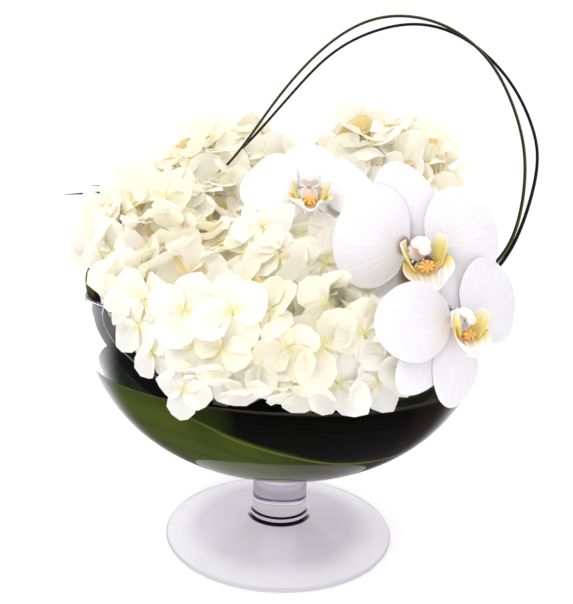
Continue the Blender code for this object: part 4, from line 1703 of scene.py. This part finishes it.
class Orchids:
    """The three blooms at the right of the arrangement."""

    def __init__(self) -> None:
        """Places the blooms."""
        self.blooms = [
            OrchidBloom(
                "upper", (1.0, -5.5, 22.7), (0.03, -0.70, 0.71), -2.0, 1.0, 3, low_side=-0.012,
                claw_gap=0.0065, lip_drop=0.0085,
                spans={"left_petal": (0.86, 0.95), "right_petal": (0.88, 0.95), "top_sepal": (0.95, 1.15),
                       "left_sepal": (0.70, 0.90), "right_sepal": (0.72, 0.95)},
                stem=((1.0, -4.2, 21.6), (1.0, -3.2, 19.6), (1.0, -1.6, 16.0), (0.6, -0.4, 10.2)),
                looks={"right_sepal": {"blush_strength": 0.9, "midline": 0.85}},
                turns={"left_petal": 78, "right_petal": -78}, drooping=0.014,
            ),
            OrchidBloom(
                "middle", (6.3, -9.9, 20.1), (0.08, -0.98, 0.14), 12.0, 1.04, 5, low_side=-0.020,
                looks={
                    "top_sepal": {"blush_strength": 0.55},
                    # The brown claw colours are painted shade in the gap beside the lip.
                    "left_petal": {"claw": (0.34, 0.20, 0.10), "claw_reach": 0.20},
                    "left_sepal": {"claw": (0.22, 0.11, 0.05), "claw_reach": 0.42},
                    "right_sepal": {"claw": (0.30, 0.18, 0.10), "claw_reach": 0.30},
                },
                turns={"right_petal": -83, "top_sepal": 4, "left_petal": 66},
                spans={"top_sepal": (0.92, 1.1)},
                stem=((6.2, -8.5, 19.7), (5.8, -7.4, 19.0), (4.0, -4.8, 16.0), (2.2, -2.2, 10.2)),
            ),
            OrchidBloom(
                "lower", (8.1, -11.3, 17.0), (0.45, -0.87, 0.20), -6.0, 0.90, 7,
                turns={"left_petal": 95, "right_petal": -64, "top_sepal": -24, "left_sepal": 142,
                       "right_sepal": -176},
                spans={"left_petal": (1.28, 0.84), "top_sepal": (0.64, 1.45), "right_petal": (1.16, 1.00),
                       "left_sepal": (0.92, 0.95), "right_sepal": (0.90, 1.0)},
                looks={"left_sepal": {"blush_strength": 0.5}, "right_sepal": {"blush_strength": 0.7}},
                stem=((9.3, -10.2, 17.0), (10.4, -9.3, 17.2), (10.1, -8.0, 17.4), (8.0, -6.2, 16.8),
                      (4.3, -3.4, 10.2)),
            ),
        ]

    def build(self) -> None:
        """Builds the blooms."""
        green = PlantSkin("orchid_stalk_look", (0.10, 0.14, 0.03), (0.26, 0.34, 0.10)).build()
        for bloom in self.blooms:
            bloom.build(green)


# ---- Grass ----


@dataclass
class GrassBlade:
    """A long narrow folded blade, from the foam over the arch to its free tip. route is in centimetres."""

    name: str
    route: tuple[Place, ...]
    finish: GrassFinish
    width: float = 0.0028
    fold: float = 0.32
    steps: int = 260
    fine_steps: int = 1200
    easings: int = 60

    def _eased(self) -> list[Vector]:
        """Spaces the route evenly and eases its small kinks.

        Returns:
            Its points, in metres.
        """
        fine = [
            Vector(along_route(self.route, i / self.fine_steps)) * CM for i in range(self.fine_steps + 1)
        ]
        gaps = [0.0]
        for a, b in zip(fine, fine[1:]):
            gaps.append(gaps[-1] + (b - a).length)
        even = []
        at = 0
        for i in range(self.steps + 1):
            goal = gaps[-1] * i / self.steps
            while at < len(gaps) - 2 and gaps[at + 1] < goal:
                at += 1
            share = (goal - gaps[at]) / max(1e-9, gaps[at + 1] - gaps[at])
            even.append(fine[at].lerp(fine[at + 1], min(1.0, share)))
        for _ in range(self.easings):
            even = [even[0], *((a + 2 * b + c) / 4 for a, b, c in zip(even, even[1:], even[2:])), even[-1]]
        return even

    def build(self) -> None:
        """Bends a long grid along the route."""
        route = self._eased()

        def shape(side: float, t: float) -> Vector:
            """A point of the blade: side across it, t along it."""
            i = round(t * self.steps)
            here = route[i]
            way = (route[min(self.steps, i + 1)] - route[max(0, i - 1)]).normalized()
            up = Vector((0.25, -1.0, 0.10))
            face = (up - way * up.dot(way)).normalized()
            across = way.cross(face)
            tip = 1 if t < 0.97 else max(0.1, (1 - t) / 0.03)
            half = self.width / 2 * (1 - 0.50 * min(1.0, t * 1.6)) * tip
            return here + across * side * half + face * (abs(side) - 0.5) * half * 2 * self.fold

        blade = bent_grid(self.name, 4, self.steps, shape)
        node = "grass_" + self.name
        release_sheet(blade, 0.0004, self.finish, Slot.GRASS, node, angle=70.0)


class Grass:
    """The two arching blades."""

    inner = (
        (5.6, -0.6, 10.2), (7.9, -1.3, 14.0), (10.4, -2.3, 17.0), (12.4, -3.0, 18.9),
        (13.7, -2.0, 20.9), (14.3, -1.0, 24.2), (14.0, 0.0, 27.3), (11.9, 0.0, 31.0),
        (8.7, 0.0, 33.1), (5.1, 0.1, 33.4), (2.2, 0.2, 31.9), (-0.6, 0.5, 29.0),
        (-3.6, 1.0, 24.8), (-5.6, 1.6, 23.0), (-8.4, 2.4, 22.3), (-12.0, 3.0, 22.6),
        (-13.4, 3.0, 22.7),
    )
    outer = (
        (5.4, 0.6, 10.2), (7.9, -0.4, 13.8), (10.6, -1.9, 16.6), (12.8, -2.5, 18.7),
        (14.4, -1.4, 21.8), (15.2, -0.5, 25.1), (15.1, 0.5, 27.0), (13.5, 0.7, 29.9),
        (10.5, 0.7, 32.4), (7.0, 0.6, 33.2), (2.7, 0.9, 31.7), (-0.6, 1.3, 28.3),
        (-2.7, 1.8, 25.9), (-5.2, 2.6, 23.8), (-8.4, 3.3, 22.8), (-12.0, 3.7, 22.3),
        (-15.4, 3.4, 22.0),
    )

    def build(self) -> None:
        """Builds both blades."""
        green = GrassFinish(
            "grass_inner_look", (0.016, 0.028, 0.006), (0.08, 0.11, 0.025), (0.05, 0.06, 0.015)
        )
        dark = GrassFinish(
            "grass_outer_look", (0.006, 0.006, 0.012), (0.018, 0.018, 0.030), (0.03, 0.03, 0.010)
        )
        GrassBlade("blade_inner", self.inner, green).build()
        GrassBlade("blade_outer", self.outer, dark).build()


# ---- Hidden parts, studio ----


class HiddenParts:
    """CAD nodes that stay as they are and only get a finish: the foam and the hydrangea stems."""

    def dress(self) -> None:
        """Paints the nodes that are still shown."""
        foam = PlantSkin("foam_look", (0.03, 0.09, 0.035), (0.08, 0.20, 0.09), 320.0, 0.9).build()
        stem = PlantSkin("hydrangea_stem_look", (0.14, 0.20, 0.05), (0.32, 0.40, 0.14), 90.0).build()
        for name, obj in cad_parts.items():
            if name == "floral_foam":
                paint(obj, foam)
            elif name.startswith("hydrangea_stem"):
                paint(obj, stem)


@dataclass
class Studio:
    """Floor, soft light and camera."""

    camera_place: Place = (0.0, -0.4207, 0.2257)
    pitch: float = 9.29
    roll: float = 2.05
    lens: float = 39.35

    def _floor(self) -> None:
        """The pale floor, dim at the front for rays that leave the glass."""
        deselect()
        bpy.ops.mesh.primitive_plane_add(size=12.0, location=(0, 0, 0.0002))
        floor = bpy.context.object
        floor.name = "floor"
        graph = Graph(bpy.data.materials.new("floor_look"))
        pale = graph.principled({
            "Base Color": (0.90, 0.895, 0.92, 1.0), "Roughness": 0.8, "Specular IOR Level": 0.1,
            "Emission Color": (1.0, 0.985, 1.0, 1.0), "Emission Strength": 0.42,
        })
        # Glass mirrors a dim room at the front, and a white one behind the bowl.
        dim = graph.node("ShaderNodeEmission", None, {"Color": (0.9, 0.9, 1.0, 1.0), "Strength": 0.10})
        near = 1.0 - graph.radius().step(0.13, 0.16)
        dark = (1.0 - graph.axis(1).step(0.0, 0.15)) * (1.0 - near * graph.ray("Is Transmission Ray"))
        paint(floor, graph.finish(graph.blend(graph.from_glass() * dark, pale, dim)))

    def _lamp(self, name: str, place: Place, aim: float, size: float, watts: float) -> None:
        """One soft square lamp.

        Args:
            name: Its name.
            place: Where it hangs.
            aim: Height on the bowl's axis that it faces.
            size: Its side.
            watts: Its power.
        """
        lamp = bpy.data.lights.new(name, "AREA")
        lamp.shape = "SQUARE"
        lamp.size = size
        lamp.energy = watts
        holder = bpy.data.objects.new(name, lamp)
        way = Vector((0, 0, aim)) - Vector(place)
        holder.matrix_world = Matrix.Translation(place) @ way.to_track_quat("-Z", "Y").to_matrix().to_4x4()
        holder.visible_glossy = False
        bpy.context.scene.collection.objects.link(holder)

    def _world(self) -> None:
        """A white room, a little dimmer as light, and dark at its front for rays that leave the glass."""
        world = bpy.data.worlds.new("white_room")
        bpy.context.scene.world = world
        graph = Graph(world)
        behind = graph.part(graph.node("ShaderNodeTexCoord", out="Generated"), 1)
        bright = graph.node("ShaderNodeMapRange", None, {0: behind, 1: 0.10, 2: 0.75, 3: 0.07, 4: 1.0})
        seen, light, shine = (
            graph.node("ShaderNodeBackground", None, {0: (*colour, 1.0), 1: strength})
            for colour, strength in (
                ((1.0, 1.0, 1.0), 1.05), ((0.95, 0.95, 0.985), 0.74), ((0.95, 0.95, 1.0), bright))
        )
        unseen = graph.blend(graph.from_glass(), light, shine)
        graph.finish(graph.blend(graph.ray("Is Camera Ray"), unseen, seen), "ShaderNodeOutputWorld")

    def _camera(self) -> None:
        """The camera, a little above the flowers and tilted by a hair."""
        data = bpy.data.cameras.new("camera")
        data.lens = self.lens
        data.sensor_width = 36.0
        camera = bpy.data.objects.new("camera", data)
        bpy.context.scene.collection.objects.link(camera)
        camera.matrix_world = (
            Matrix.Translation(self.camera_place)
            @ Matrix.Rotation(math.radians(90 - self.pitch), 4, "X")
            @ Matrix.Rotation(math.radians(self.roll), 4, "Z")
        )
        bpy.context.scene.camera = camera

    def build(self) -> None:
        """Sets the whole studio up."""
        self._floor()
        self._lamp("key", (-0.55, -0.75, 0.95), 0.18, 0.5, 5.2)
        self._lamp("top", (0.25, 0.15, 1.15), 0.15, 0.9, 7.0)
        self._lamp("fill", (-0.10, -1.30, 0.30), 0.15, 1.0, 1.8)
        self._world()
        self._camera()
        bpy.context.scene.view_settings.view_transform = "Standard"


def main() -> None:
    """Builds the centerpiece in order."""
    logging.basicConfig(level=logging.INFO, format="%(name)s %(message)s")
    Studio().build()
    FootedBowl().build()
    Leaves().build()
    orchids = Orchids()
    Hydrangeas().build(FlowerRoom(orchids.blooms))
    orchids.build()
    Grass().build()
    HiddenParts().dress()


if __name__ == "__main__":
    main()
